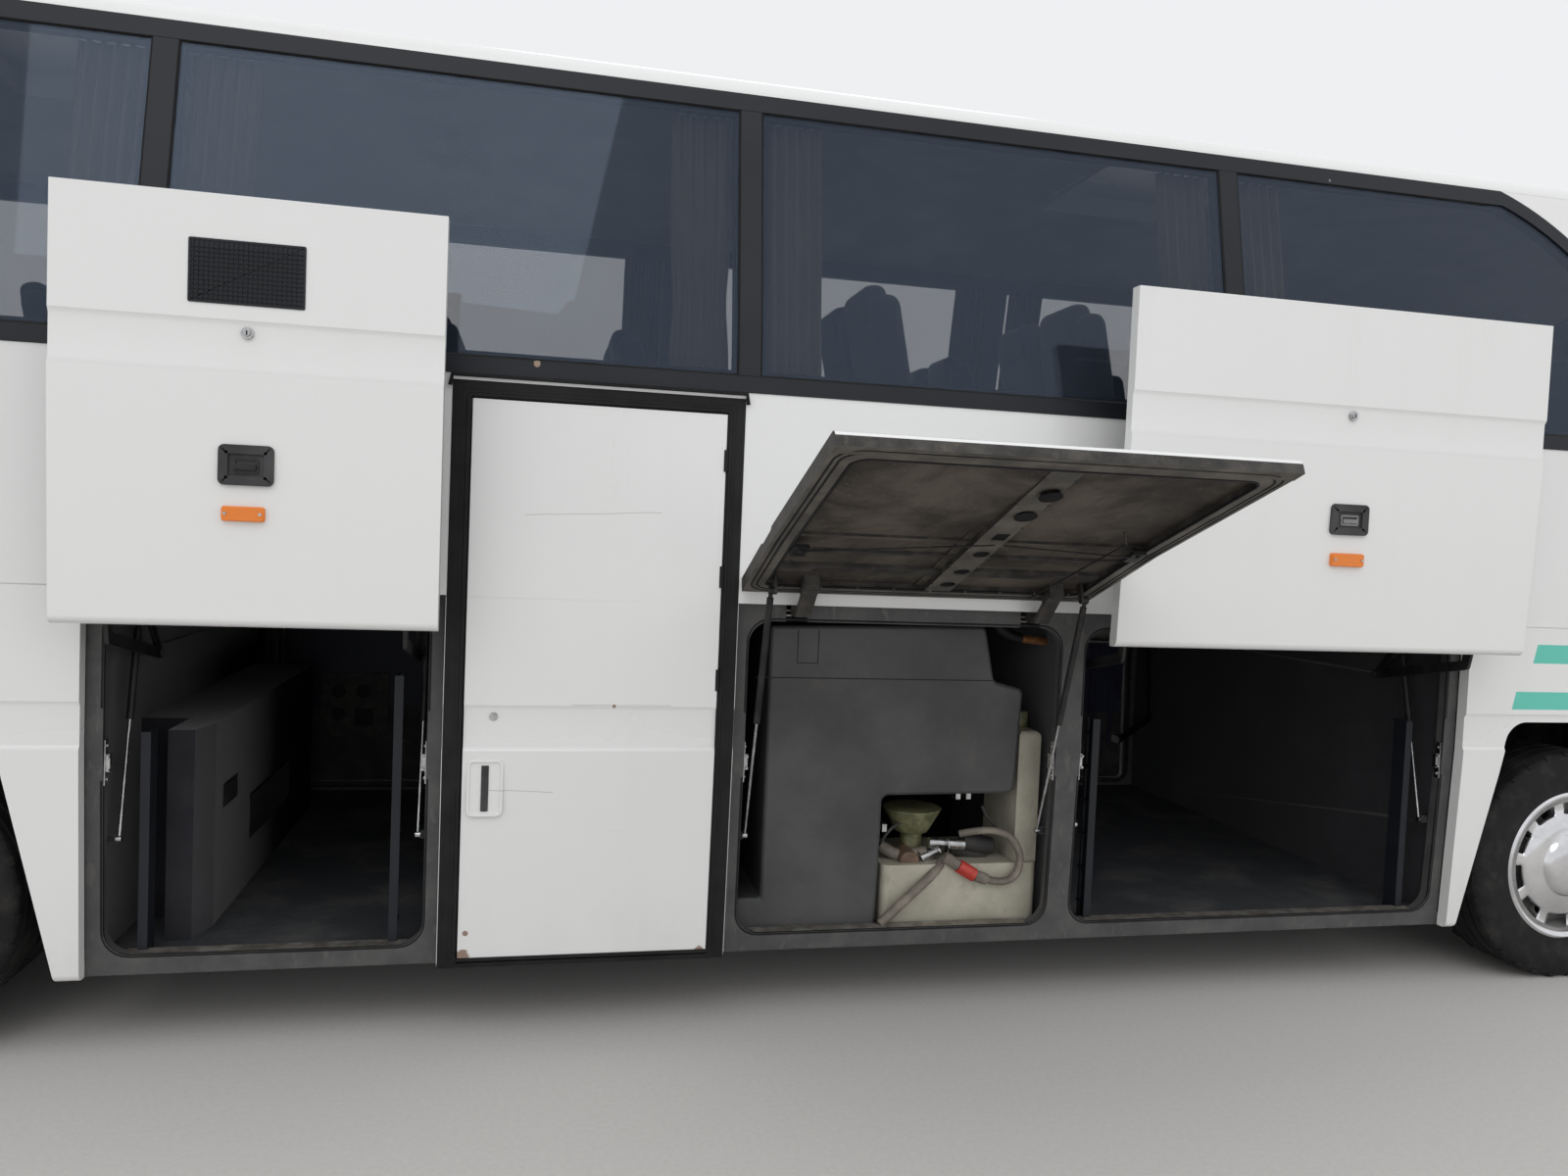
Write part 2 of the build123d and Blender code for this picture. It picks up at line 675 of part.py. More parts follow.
platform_z = 960.0
front_step_y = 310 - width / 2
front_tread = 150.0
cab_x = front_joint_x - 1000
deck_half = width / 2 - wall - seat_gap
stair_inner_y = -frame_y + 120 + step_tread * step_count
inner_room = body_form(wall + seat_gap, False)
with BuildPart() as deck:
    slab((rear_joint_x, cab_x), (-deck_half, deck_half), (deck_z, deck_z + deck_thick))
    slab(door_zone, (-deck_half - 10, stair_inner_y), (deck_z - 10, deck_z + 60), mode=Mode.SUBTRACT)
    for x in goose_xs:
        slab(
            (x - pocket_wide / 2, x + pocket_wide / 2),
            (-deck_half - 10, -1100),
            (deck_z - 10, deck_z + 60),
            mode=Mode.SUBTRACT,
        )
    slab((cab_x - deck_thick, cab_x), (-deck_half, deck_half), (platform_z, deck_z))
    with BuildPart(mode=Mode.PRIVATE) as platform:
        platform_y = front_step_y + 3 * front_tread
        slab((cab_x - deck_thick, length / 2), (platform_y, deck_half), (platform_z - deck_thick, platform_z))
        add(inner_room, mode=Mode.INTERSECT)
    add(platform.part)
    for i in range(3):
        y = front_step_y + front_tread * i
        top = skirt_z + wall + (platform_z - skirt_z - wall) / 3 * (i + 1)
        slab((cab_x - deck_thick, front_joint_x), (y, y + front_tread), (skirt_z + wall, top))
    floor_half = belly_half - seat_gap
    slab((cab_x - deck_thick, front_joint_x), (-floor_half, floor_half), (skirt_z, skirt_z + wall))
write(deck.part, "deck_floor")

with BuildPart() as wells:
    for axle_x in axle_xs:
        for side in (-1, 1):
            xs = (axle_x - well_half, axle_x + well_half)
            ys = sorted((side * well_inner_y, side * (width / 2 - wall - seat_gap)))
            slab(xs, ys, (skirt_z + wall, well_top_z))
            inner_ys = sorted((side * (well_inner_y + well_skin), side * width))
            inside = (axle_x - well_half + well_skin, axle_x + well_half - well_skin)
            slab(inside, inner_ys, (0, well_top_z - well_skin), mode=Mode.SUBTRACT)
            slot_ys = sorted((side * (well_inner_y - 20), side * (well_inner_y + 40)))
            slab((axle_x - 130, axle_x + 130), slot_ys, (0, 640), mode=Mode.SUBTRACT)
    add(inner_room, mode=Mode.INTERSECT)
write(wells.part, "wheel_boxes")

print("running gear")
rail_y = width / 2 - 820
rail_zs = (560.0, 760.0)
rail_wide = 60.0
tow_hole = 22.0
beam_half = 55.0
rear_tube = 75.0
engine_xs = (rear_joint_x + 60, rear_joint_x + 1270)
behind_axle_x = (engine_xs[1] + rear_axle_x) / 2
cross_xs = (
    rear_joint_x + 150,
    behind_axle_x,
    rear_bay[0] - 34,
    front_bay[1] + 33,
    front_axle_x + 650,
    front_joint_x + 230,
)
post_xs = (front_bay[1] + 73, front_axle_x + 650, rear_bay[0] - 79, behind_axle_x)
tow_xs = (front_joint_x + 180, rear_joint_x + 200)
tow_y = rail_y - 30
jack_half = 70.0
jack_z = 480.0
with BuildPart() as chassis:
    for xs in ((front_bay[1], front_joint_x + 260), (rear_joint_x + 120, rear_bay[0])):
        for side in (-1, 1):
            slab(xs, (side * rail_y - rail_wide / 2, side * rail_y + rail_wide / 2), rail_zs)
    for x in cross_xs:
        slab((x - 30, x + 30), (-rail_y, rail_y), (rail_zs[0] + 20, rail_zs[1] - 20))
    for x in post_xs:
        for side in (-1, 1):
            y = side * rail_y
            slab((x - 30, x + 30), (y - 30, y + 30), (rail_zs[1] - 10, deck_z))
    for x, half_high in ((front_axle_x, beam_half), (rear_axle_x, rear_tube)):
        for side in (-1, 1):
            with Locations((x, side * rail_y, (hub_z + half_high + rail_zs[0]) / 2)):
                Cylinder(80, rail_zs[0] - hub_z - half_high)
    for x in tow_xs:
        slab((x - 30, x + 30), (-rail_y, rail_y), (skirt_z + wall, rail_zs[0] + 30))
    for x, top in zip(tow_xs, (skirt_z, skirt_z + wall)):
        slab((x - 60, x + 60), (tow_y - 15, tow_y + 15), (150, top))
        with Locations(Location((x, tow_y, 200), (90, 0, 0))):
            Cylinder(tow_hole, 200, mode=Mode.SUBTRACT)
    jack_xs = (behind_axle_x - jack_half, behind_axle_x + jack_half)
    slab(jack_xs, (-rail_y - jack_half, -rail_y + jack_half), (jack_z, rail_zs[0]))
write(chassis.part, "chassis_frame")

with BuildPart() as front_axle:
    beam_zs = (hub_z - beam_half, hub_z + beam_half)
    slab((front_axle_x - 50, front_axle_x + 50), (-kingpin_y, kingpin_y), beam_zs)
    for side in (-1, 1):
        with Locations((front_axle_x, side * kingpin_y, hub_z)):
            Cylinder(50, 2 * beam_half)
            Cylinder(kingpin_radius + 0.05, 400, mode=Mode.SUBTRACT)
write(front_axle.part, "front_axle")

spindle_radius = 40.0
ear = 26.0
for side, node in ((-1, "front_right_knuckle"), (1, "front_left_knuckle")):
    with BuildPart() as knuckle:
        y0 = side * kingpin_y
        ear_ys = sorted((y0 - side * 50, y0 + side * 90))
        for z in (hub_z + beam_half + seat_gap, hub_z - beam_half - ear - seat_gap):
            slab((front_axle_x - 55, front_axle_x + 55), ear_ys, (z, z + ear))
        height = beam_half + ear
        with Locations((front_axle_x, y0, hub_z)):
            Cylinder(kingpin_radius, 2 * height)
        plate = sorted((y0 + side * 62, y0 + side * 92))
        slab((front_axle_x - 55, front_axle_x + 55), plate, (hub_z - height, hub_z + height))
        with Locations(Location((front_axle_x, y0 + side * 90, hub_z), (-side * 90, 0, 0))):
            Cylinder(spindle_radius, 205, align=(Align.CENTER, Align.CENTER, Align.MIN))
    write(knuckle.part, node)

rear_spindle = 60.0
spindle_end = 1115.0
with BuildPart() as rear_axle:
    with Locations(Location((rear_axle_x, 0, hub_z), (90, 0, 0))):
        Cylinder(rear_tube, 2 * 640)
        Cylinder(rear_spindle, 2 * spindle_end)
        Cylinder(190, 300)
        chamfer(rear_axle.edges().filter_by(GeomType.CIRCLE).group_by(SortBy.RADIUS)[-1], length=60)
write(rear_axle.part, "rear_axle")


# One tyre section turned about the wheel's axis, centred on the given station along Y
def tyre_ring(axle_x, y):
    half, shoulder = tyre_width / 2, 26.0
    with BuildSketch(Plane((axle_x, y, hub_z), x_dir=(0, 1, 0), z_dir=(1, 0, 0))) as cut:
        with BuildLine():
            Polyline(
                (-half + 22, rim_radius),
                (half - 22, rim_radius),
                (half, rim_radius + 70),
                (half - 4, tyre_radius - 50),
                (half - shoulder, tyre_radius),
                (-half + shoulder, tyre_radius),
                (-half + 4, tyre_radius - 50),
                (-half, rim_radius + 70),
                close=True,
            )
        make_face()
    revolve(cut.sketch, axis=Axis((axle_x, y, hub_z), (0, 1, 0)))


# Rim, disc and hub as one turned section; the disc stands at disc_y, the bore runs on the spindle
def wheel_ring(axle_x, y, side, disc_out, bore, hub_span):
    half = tyre_width / 2 - 22
    with BuildSketch(Plane((axle_x, y, hub_z), x_dir=(0, side, 0), z_dir=(side, 0, 0))) as cut:
        with BuildLine():
            Polyline(
                (-half - 8, rim_radius - seat_gap),
                (-half - 8, rim_radius - 24),
                (disc_out - 14, rim_radius - 40),
                (disc_out - 14, 130),
                (hub_span[0], 120),
                (hub_span[0], bore),
                (hub_span[1], bore),
                (hub_span[1], 120),
                (disc_out, 150),
                (disc_out, rim_radius - 44),
                (half + 8, rim_radius - 26),
                (half + 8, rim_radius - seat_gap),
                close=True,
            )
        make_face()
    revolve(cut.sketch, axis=Axis((axle_x, y, hub_z), (0, 1, 0)))
    with Locations(Location((axle_x, y + side * (disc_out - 7), hub_z), (90, 0, 0))):
        with PolarLocations(wheel_hole_ring, wheel_hole_count):
            Cylinder(wheel_hole_radius, 60, mode=Mode.SUBTRACT)


for side, word in ((-1, "right"), (1, "left")):
    with BuildPart() as tyre:
        tyre_ring(front_axle_x, side * wheel_y)
    write(tyre.part, f"front_{word}_tyre")
    with BuildPart() as wheel:
        bore = spindle_radius + 0.06
        wheel_ring(front_axle_x, side * wheel_y, side, 60, bore, (-70, 75))
    write(wheel.part, f"front_{word}_wheel")
    with BuildPart() as twins:
        for y in (wheel_y, wheel_y - twin_pitch):
            tyre_ring(rear_axle_x, side * y)
    write(twins.part, f"rear_{word}_tyres")
    with BuildPart() as wheel:
        bore = rear_spindle + 0.06
        wheel_ring(rear_axle_x, side * wheel_y, side, -twin_pitch / 2 + 14, bore, (-240, 50))
        wheel_ring(rear_axle_x, side * (wheel_y - twin_pitch), side, twin_pitch / 2, bore, (60, 150))
    write(wheel.part, f"rear_{word}_wheels")

with BuildPart() as engine:
    block_y = rail_y - rail_wide / 2 - running_gap
    slab(engine_xs, (-block_y - 25, block_y + 25), (rail_zs[1], 1400))
    slab((engine_xs[0] + 180, engine_xs[1] - 100), (-block_y, block_y), (430, rail_zs[1] + 5))
write(engine.part, "engine")

print("flaps and linkages")


# A flap or leaf cut from the shell, hollowed from inside to leave a skin and a rim
def flap_panel(side, xs, zs):
    with BuildPart() as panel:
        add(side_patch(shell, side, xs, zs))
        with BuildPart(mode=Mode.PRIVATE) as pocket:
            add(pocket_skin)
            inner_xs = (xs[0] + flap_rim, xs[1] - flap_rim)
            add(rounded_prism(inner_xs, (zs[0] + flap_rim + 20, zs[1] - flap_rim), 30), mode=Mode.INTERSECT)
            slab(inner_xs, (side * 900, side * 1400), (0, 3000), mode=Mode.INTERSECT)
        add(pocket.part, mode=Mode.SUBTRACT)
    return panel.part


# The bracket that carries a flap on its arm, and the pin through the arm's eye
def foot_bracket(side, end, inward):
    near = end + inward * (arm_lane + arm_thick / 2 + seat_gap)
    thick = inward * 10
    with BuildPart() as bracket:
        with BuildSketch(Plane.YZ.offset(near)):
            link(to_yz(side, foot), to_yz(side, (foot[0] + foot_bracket_long, foot[1])), 40)
        extrude(amount=thick)
        cross_pin(side, foot, pin_radius, sorted((near + thick / 2, near - inward * (arm_thick + 3))))
    return bracket.part


# One arm in the pose that the given turn from open gives it
def lift_arm(side, end, inward, turn):
    knee, tip, lug = (turned(point, pivot, turn) for point in (open_knee, open_foot, open_lug))
    near = end + inward * (arm_lane - arm_thick / 2)
    with BuildPart() as arm:
        with BuildSketch(Plane.YZ.offset(near)) as outline:
            link(to_yz(side, pivot), to_yz(side, knee), arm_width)
            link(to_yz(side, knee), to_yz(side, tip), arm_width)
            if side < 0:
                link(to_yz(side, pivot), to_yz(side, lug), arm_width - 8)
        extrude(amount=inward * arm_thick)
        hole = pin_radius + 0.06
        hole_xs = sorted((near - 5 * inward, near + inward * (arm_thick + 5)))
        for point in (pivot, tip):
            cross_pin(side, point, hole, hole_xs, Mode.SUBTRACT)
        if side < 0:
            stub_long = arm_lane - strut_lane + eye_thick / 2 - arm_thick / 2
            cross_pin(side, lug, 6, sorted((near + inward * 2, near - inward * stub_long)))
    return arm.part


# A gas strut between two points of one side, as a tube from the head and a rod down to the foot
def strut(side, x, head, base, tube_long):
    reach = hypot(base[0] - head[0], base[1] - head[1])
    head_yz, base_yz = to_yz(side, head), to_yz(side, base)
    along = Vector(0, base_yz[0] - head_yz[0], base_yz[1] - head_yz[1]).normalized()
    start = Vector(x, *head_yz)
    eye_xs = (x - eye_thick / 2, x + eye_thick / 2)
    with BuildPart() as tube:
        on_end = (Align.CENTER, Align.CENTER, Align.MIN)
        with Locations(Plane(start, z_dir=along).location):
            Cylinder(tube_radius - 4, 40, align=on_end)
            with Locations((0, 0, 26)):
                Cylinder(tube_radius, tube_long - 26, align=on_end)
            with Locations((0, 0, 40)):
                Cylinder(rod_radius + 0.08, tube_long, align=on_end, mode=Mode.SUBTRACT)
        cross_pin(side, head, eye_radius, eye_xs)
        cross_pin(side, head, 6.06, (x - 30, x + 30), Mode.SUBTRACT)
    with BuildPart() as rod:
        with Locations(Plane(start + along * (tube_long - 35), z_dir=along).location):
            Cylinder(rod_radius, reach - tube_long + 35, align=(Align.CENTER, Align.CENTER, Align.MIN))
        cross_pin(side, base, eye_radius - 3, eye_xs)
    return tube.part, rod.part


strut_tube_long = 310.0
service_tube_long = 470.0
panel_xs = {bay: (bay[0] + bay_gap, bay[1] - bay_gap) for bay in (rear_bay, service_bay, front_bay)}
opened = Location((0, -flap_out, flap_rise))
for side, bay, name in (
    (-1, rear_bay, "rear_bay"),
    (-1, front_bay, "front_bay"),
    (1, rear_bay, "far_rear_bay"),
    (1, front_bay, "far_front_bay"),
):
    with BuildPart() as flap:
        add(flap_panel(side, panel_xs[bay], (flap_low_z, flap_top_z)))
        for end, inward in lanes(bay):
            add(foot_bracket(side, end, inward))
    write(opened * flap.part if side < 0 else flap.part, f"{name}_flap")
    with BuildPart() as arms:
        for end, inward in lanes(bay):
            add(lift_arm(side, end, inward, 0 if side < 0 else -swing))
    write(arms.part, f"{name}_arms")
    if side < 0:
        strut_xs = [end + inward * strut_lane for end, inward in lanes(bay)]
        pairs = [strut(side, x, open_lug, strut_foot, strut_tube_long) for x in strut_xs]
        for i, word in enumerate(("tubes", "rods")):
            with BuildPart() as pieces:
                for pair in pairs:
                    add(pair[i])
            write(pieces.part, f"{name}_strut_{word}")

hinge = (goose_u, goose_z)
service_head = (service_strut_u, service_strut_z)
goose_drop = 68.0
goose_end = (-62.0, 1330.0)
with BuildPart() as service_flap:
    add(flap_panel(-1, panel_xs[service_bay], (flap_low_z, service_top_z)))
    down_open = (hinge[0], hinge[1] - goose_drop)
    out_open = (hinge[0] + 62, hinge[1] - goose_drop)
    path = [hinge, turned(down_open, hinge, -service_turn), turned(out_open, hinge, -service_turn), goose_end]
    for x in goose_xs:
        with BuildSketch(Plane.YZ.offset(x - goose_wide / 2)):
            for p, q in zip(path, path[1:]):
                link(to_yz(-1, p), to_yz(-1, q), 20)
        extrude(amount=goose_wide)
        cross_pin(-1, hinge, 6.06, (x - 50, x + 50), Mode.SUBTRACT)
        slab((x - 25, x + 25), (side_y(-1, -70), side_y(-1, -15)), (1300, 1370))
    rib_x = service_bay[0] + 650
    rib_deep = 46.0
    rib_zs = (flap_low_z + flap_rim + 24, service_top_z - flap_rim - 4)
    slab((rib_x - 75, rib_x + 50), (side_y(-1, -26), side_y(-1, -15)), rib_zs)
    slab((rib_x - 45, rib_x + 45), (side_y(-1, -rib_deep), side_y(-1, -15)), rib_zs)
    for z in (506.0, 664.0, 988.0, 1153.0, 1280.0):
        with Locations(Location((rib_x + 12, side_y(-1, -rib_deep), z), (90, 0, 0))):
            Cylinder(26, 30, mode=Mode.SUBTRACT)
    window_ys = (side_y(-1, -rib_deep - 1), side_y(-1, 15 - rib_deep))
    slab((rib_x - 10, rib_x + 34), window_ys, (812, 866), mode=Mode.SUBTRACT)
    rib_ends = (panel_xs[service_bay][0] + flap_rim - 2, panel_xs[service_bay][1] - flap_rim + 2)
    for z in (930.0, 1060.0):
        slab(rib_ends, (side_y(-1, -30), side_y(-1, -15)), (z - 9, z + 9))
    slab(rib_ends, (side_y(-1, -34), side_y(-1, -15)), (1180, 1230))
    for end, inward in lanes(service_bay):
        x = end + inward * strut_lane
        xs = sorted((x + inward * (eye_thick / 2 + seat_gap), x + inward * (eye_thick / 2 + 10)))
        with BuildSketch(Plane.YZ.offset(xs[0])):
            link(to_yz(-1, service_head), to_yz(-1, (-20, service_strut_z)), 26)
        extrude(amount=xs[1] - xs[0])
        cross_pin(-1, service_head, 6, sorted((xs[0], x - inward * eye_thick / 2)))
hinge_x = Axis((0, *to_yz(-1, hinge)), (1, 0, 0))
raised = service_flap.part.rotate(hinge_x, -service_turn)
write(raised, "service_flap")
raised_head = turned(service_head, hinge, service_turn)
strut_xs = [end + inward * strut_lane for end, inward in lanes(service_bay)]
pairs = [strut(-1, x, raised_head, service_foot, service_tube_long) for x in strut_xs]
for i, word in enumerate(("tubes", "rods")):
    with BuildPart() as pieces:
        for pair in pairs:
            add(pair[i])
    write(pieces.part, f"service_strut_{word}")

print("doors")
with BuildPart() as surround:
    add(layer(-2, wall))
    surround_xs = (door_zone[0] + 0.1, door_zone[1] - 0.1)
    slab(surround_xs, (-900, -1400), (skirt_z, mid_surround_z), mode=Mode.INTERSECT)
    slab(
        (mid_leaf[0] - running_gap, mid_leaf[1] + seat_gap),
        (-800, -1500),
        (mid_leaf_z[0] - running_gap, mid_leaf_z[1] + running_gap),
        mode=Mode.SUBTRACT,
    )
    for z in mid_hinge_zs:
        with Locations((mid_leaf[1] + seat_gap / 2, side_y(-1, 0), z)):
            Cylinder(barrel_radius + running_gap, barrel_long + 2 * running_gap, mode=Mode.SUBTRACT)
write(surround.part, "door_surround")
with BuildPart() as leaf:
    add(side_patch(shell, -1, mid_leaf, mid_leaf_z))
    for z in mid_hinge_zs:
        with Locations((mid_leaf[1] + seat_gap / 2, side_y(-1, 0), z)):
            Cylinder(barrel_radius, barrel_long)
    slab((-1020, -930), (-1255, -1228), (750, 910), mode=Mode.SUBTRACT)
write(leaf.part, "mid_door")

door_middle = degrees(atan2(door_out, door_ahead)) + 90
door_reach = hypot(door_out, door_ahead) / 2 / sin(radians(door_turn / 2))
door_foot = (front_leaf[1] - 420, 80.0)
door_closed = door_middle + door_turn / 2
door_pivot = (
    door_foot[0] - door_reach * cos(radians(door_closed)),
    -door_foot[1] - door_reach * sin(radians(door_closed)),
)
door_knee_open = (door_pivot[0] + 18, 62.0)
print("front door pivot x, u", door_pivot, "reach", door_reach, "closed angle", door_closed)
arm_zs = (700.0, 1100.0)


def door_light(grow):
    xs = (front_leaf[0] + 80 - grow, front_leaf[1] - 80 + grow)
    return rounded_prism(xs, (1180 - grow, 2660 + grow), 60)


with BuildPart() as door_pane:
    add(glass_skin)
    add(door_light(lap - seat_gap), mode=Mode.INTERSECT)
    slab((-length, length), (-900, -1400), (0, 4000), mode=Mode.INTERSECT)
write(door_pane.part, "front_door_glass")
with BuildPart() as front_door:
    add(side_patch(shell, -1, front_leaf, front_leaf_z))
    with BuildPart(mode=Mode.PRIVATE) as seat:
        add(recess_skin)
        add(door_light(lap), mode=Mode.INTERSECT)
        slab((-length, length), (-900, -1400), (0, 4000), mode=Mode.INTERSECT)
    add(seat.part, mode=Mode.SUBTRACT)
    slab((-length, length), (900, 1400), (0, 4000), mode=Mode.SUBTRACT)
    with BuildPart(mode=Mode.PRIVATE) as light:
        add(door_light(0))
        slab((-length, length), (-900, -1400), (0, 4000), mode=Mode.INTERSECT)
    add(light.part, mode=Mode.SUBTRACT)
    for z in arm_zs:
        y = side_y(-1, -door_foot[1])
        slab((door_foot[0] - 25, door_foot[0] + 25), (side_y(-1, -20), y), (z - 40, z - 8 - seat_gap))
        with Locations((door_foot[0], y, z - 40)):
            Cylinder(25, 32 - seat_gap, align=(Align.CENTER, Align.CENTER, Align.MIN))
            Cylinder(10, 55, align=(Align.CENTER, Align.CENTER, Align.MIN))
write(front_door.part, "front_door")


def to_xy(point):
    return (point[0], side_y(-1, point[1]))


with BuildPart() as door_arms:
    knee = turned(door_knee_open, door_pivot, door_turn)
    for z in arm_zs:
        with BuildSketch(Plane.XY.offset(z - 8)):
            link(to_xy(door_pivot), to_xy(knee), 44)
            link(to_xy(knee), to_xy((door_foot[0], -door_foot[1])), 44)
        extrude(amount=16)
        with Locations((*to_xy((door_foot[0], -door_foot[1])), z)):
            Cylinder(10.06, 80, mode=Mode.SUBTRACT)
    with Locations((*to_xy(door_pivot), skirt_z + wall + seat_gap)):
        Cylinder(post_radius, arm_zs[1] + 60 - skirt_z - wall, align=(Align.CENTER, Align.CENTER, Align.MIN))
write(door_arms.part, "front_door_arms")

print("interior")
floor_z = deck_z + deck_thick
seat_pitch = 800.0
seat_first_x = rear_joint_x + 470
seat_ys = (240.0, width / 2 - 190)
seat_back_x = -190.0
seat_front_x = 450.0
cushion_z = floor_z + 330
seat_rows = int((cab_x - 30 - seat_front_x - seat_first_x) / seat_pitch) + 1


def seat_pair(side, x, base_z):
    with BuildPart() as pair:
        with BuildSketch(Plane.XZ.offset(-side * seat_ys[0] if side > 0 else seat_ys[0])) as outline:
            with BuildLine():
                Polyline(
                    (x, cushion_z - floor_z + base_z),
                    (x + 440, cushion_z - floor_z + base_z + 20),
                    (x + 450, cushion_z - floor_z + base_z + 130),
                    (x + 60, cushion_z - floor_z + base_z + 120),
                    (x - 90, cushion_z - floor_z + base_z + 790),
                    (x - 190, cushion_z - floor_z + base_z + 780),
                    (x - 60, cushion_z - floor_z + base_z),
                    close=True,
                )
            make_face()
            fillet(outline.vertices().sort_by(Axis.Y)[-2:], radius=38)
        extrude(amount=-side * (seat_ys[1] - seat_ys[0]) if side > 0 else seat_ys[1] - seat_ys[0])
        ys = sorted((side * (seat_ys[0] + 120), side * (seat_ys[1] - 200)))
        slab((x + 60, x + 320), ys, (base_z, cushion_z - floor_z + base_z + 10))
    return pair.part


with BuildPart() as seats:
    for side in (-1, 1):
        for row in range(seat_rows):
            x = seat_first_x + row * seat_pitch
            over_stairs = x + seat_front_x > door_zone[0] and x + seat_back_x < door_zone[1]
            if side > 0 or not over_stairs:
                add(seat_pair(side, x, floor_z))
write(seats.part, "passenger_seats")

driver_y = width / 2 - 590
driver_x = front_joint_x - 740
column_x = front_joint_x + 30
with BuildPart() as cab:
    slab((column_x + 90, column_x + 430), (-250, width / 2 - 200), (platform_z, 1330))
    fillet(cab.edges().filter_by(Axis.Y), radius=60)
    slab((driver_x, driver_x + 450), (driver_y - 240, driver_y + 240), (platform_z, 1330))
    slab((driver_x, driver_x + 120), (driver_y - 230, driver_y + 230), (1330, 2080))
    fillet(cab.edges().filter_by(Axis.Y).group_by(Axis.Z)[-1], radius=50)
    with Locations(Location((column_x, driver_y, 1270), (0, -28, 0))):
        Cylinder(28, 420)
    slab((column_x, column_x + 110), (driver_y - 40, driver_y + 40), (1060, 1150))
write(cab.part, "driver_cab")
wheel_middle = (column_x - 210 * sin(radians(28)), driver_y, 1270 + 210 * cos(radians(28)))
with BuildPart() as steering:
    with Locations(Location(wheel_middle, (0, -28, 0))):
        Torus(215, 16)
        Cylinder(40, 40, align=(Align.CENTER, Align.CENTER, Align.MIN))
        with Locations((0, 0, 8)):
            Box(36, 420, 12)
            Box(420, 36, 12)
write(steering.part, "steering_wheel")

curtain_in = wall + seat_gap
curtain_skin = layer(curtain_in, curtain_in + 22)
with BuildPart() as curtains:
    for side in (-1, 1):
        for x in pane_ends:
            for share in (-1, 1):
                near, far = x + share * 60, x + share * 260
                with BuildPart(mode=Mode.PRIVATE) as hanging:
                    add(curtain_skin)
                    slab(sorted((near, far)), (side * 800, side * 1400), (2150, 3110), mode=Mode.INTERSECT)
                add(hanging.part)
write(curtains.part, "curtains")

print("service bay")
bay_x = service_bay[0]
bay_left = bay_x + bulkhead + 30
housing_y = -(frame_y - 30)
with BuildPart() as housing:
    with BuildSketch(Plane.XZ.offset(-housing_y)) as outline:
        with BuildLine():
            Polyline(
                (bay_left, bay_floor_z),
                (bay_left, 1352),
                (bay_x + 938, 1370),
                (bay_x + 980, 1168),
                (bay_x + 1095, 1142),
                (bay_x + 1078, 760),
                (bay_x + 575, 755),
                (bay_x + 575, 640),
                (bay_x + 568, bay_floor_z),
                close=True,
            )
        make_face()
        fillet(outline.vertices().filter_by(lambda v: v.Y > 700), radius=26)
    extrude(amount=-600)
    slab((bay_x, bay_x + bulkhead + 120), (-2000, 0), (400, 1400), mode=Mode.SUBTRACT)
write(housing.part, "wc_housing")
with BuildPart() as tank:
    slab((bay_x + 590, bay_x + 1190), (housing_y + 12, housing_y + 380), (bay_floor_z, 500))
    fillet(tank.edges().filter_by(Axis.Z), radius=30)
    slab((bay_x + 1102, bay_x + 1188), (housing_y + 30, housing_y + 330), (499, 985))
    fillet(tank.faces().sort_by(Axis.Z)[-1].edges(), radius=24)
write(tank.part, "wc_tank")
with BuildPart() as fittings:
    with Locations((bay_x + 1145, housing_y + 140, 985)):
        Cylinder(34, 60, align=(Align.CENTER, Align.CENTER, Align.MIN))
    with Locations((bay_x + 740, housing_y + 150, 500)):
        Cylinder(40, 90, align=(Align.CENTER, Align.CENTER, Align.MIN))
        with Locations((0, 0, 90)):
            Cone(60, 110, 90, align=(Align.CENTER, Align.CENTER, Align.MIN))
write(fittings.part, "wc_fittings")

print("roof unit and mirrors")
roof_top_z = 3396.0
with BuildPart() as unit:
    with BuildSketch(Plane.XY.offset(3250)), Locations((rear_joint_x + 1320, 0)):
        RectangleRounded(2100, 1500, 220)
    with BuildSketch(Plane.XY.offset(roof_top_z + 170)), Locations((rear_joint_x + 1320, 0)):
        RectangleRounded(1900, 1250, 180)
    loft()
    fillet(unit.faces().sort_by(Axis.Z)[-1].edges(), radius=40)
    add(body_form(0, False), mode=Mode.SUBTRACT)
write(unit.part, "roof_unit")
mirror_y = width / 2 - 80
with BuildPart() as mirrors:
    for side in (-1, 1):
        with BuildLine() as route:
            FilletPolyline(
                (front_joint_x + 140, side * (mirror_y - 310), 3040),
                (half_long - 10, side * (mirror_y - 90), 3120),
                (half_long + 30, side * (mirror_y - 10), 2800),
                (half_long + 30, side * mirror_y, 2500),
                radius=90,
            )
        with BuildSketch(Plane(route.line @ 0, z_dir=route.line % 0)) as ring:
            Circle(19)
        sweep(ring.sketch, path=route.line)
        with Locations((half_long + 30, side * mirror_y, 2350)):
            Box(90, 220, 420)
            fillet(mirrors.edges().group_by(Axis.Z)[0], radius=30)
    add(body_form(0, False), mode=Mode.SUBTRACT)
write(mirrors.part, "mirrors")
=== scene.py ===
import json
import math
import random

import bmesh
import bpy
from mathutils import Matrix, Vector
from mathutils.bvhtree import BVHTree


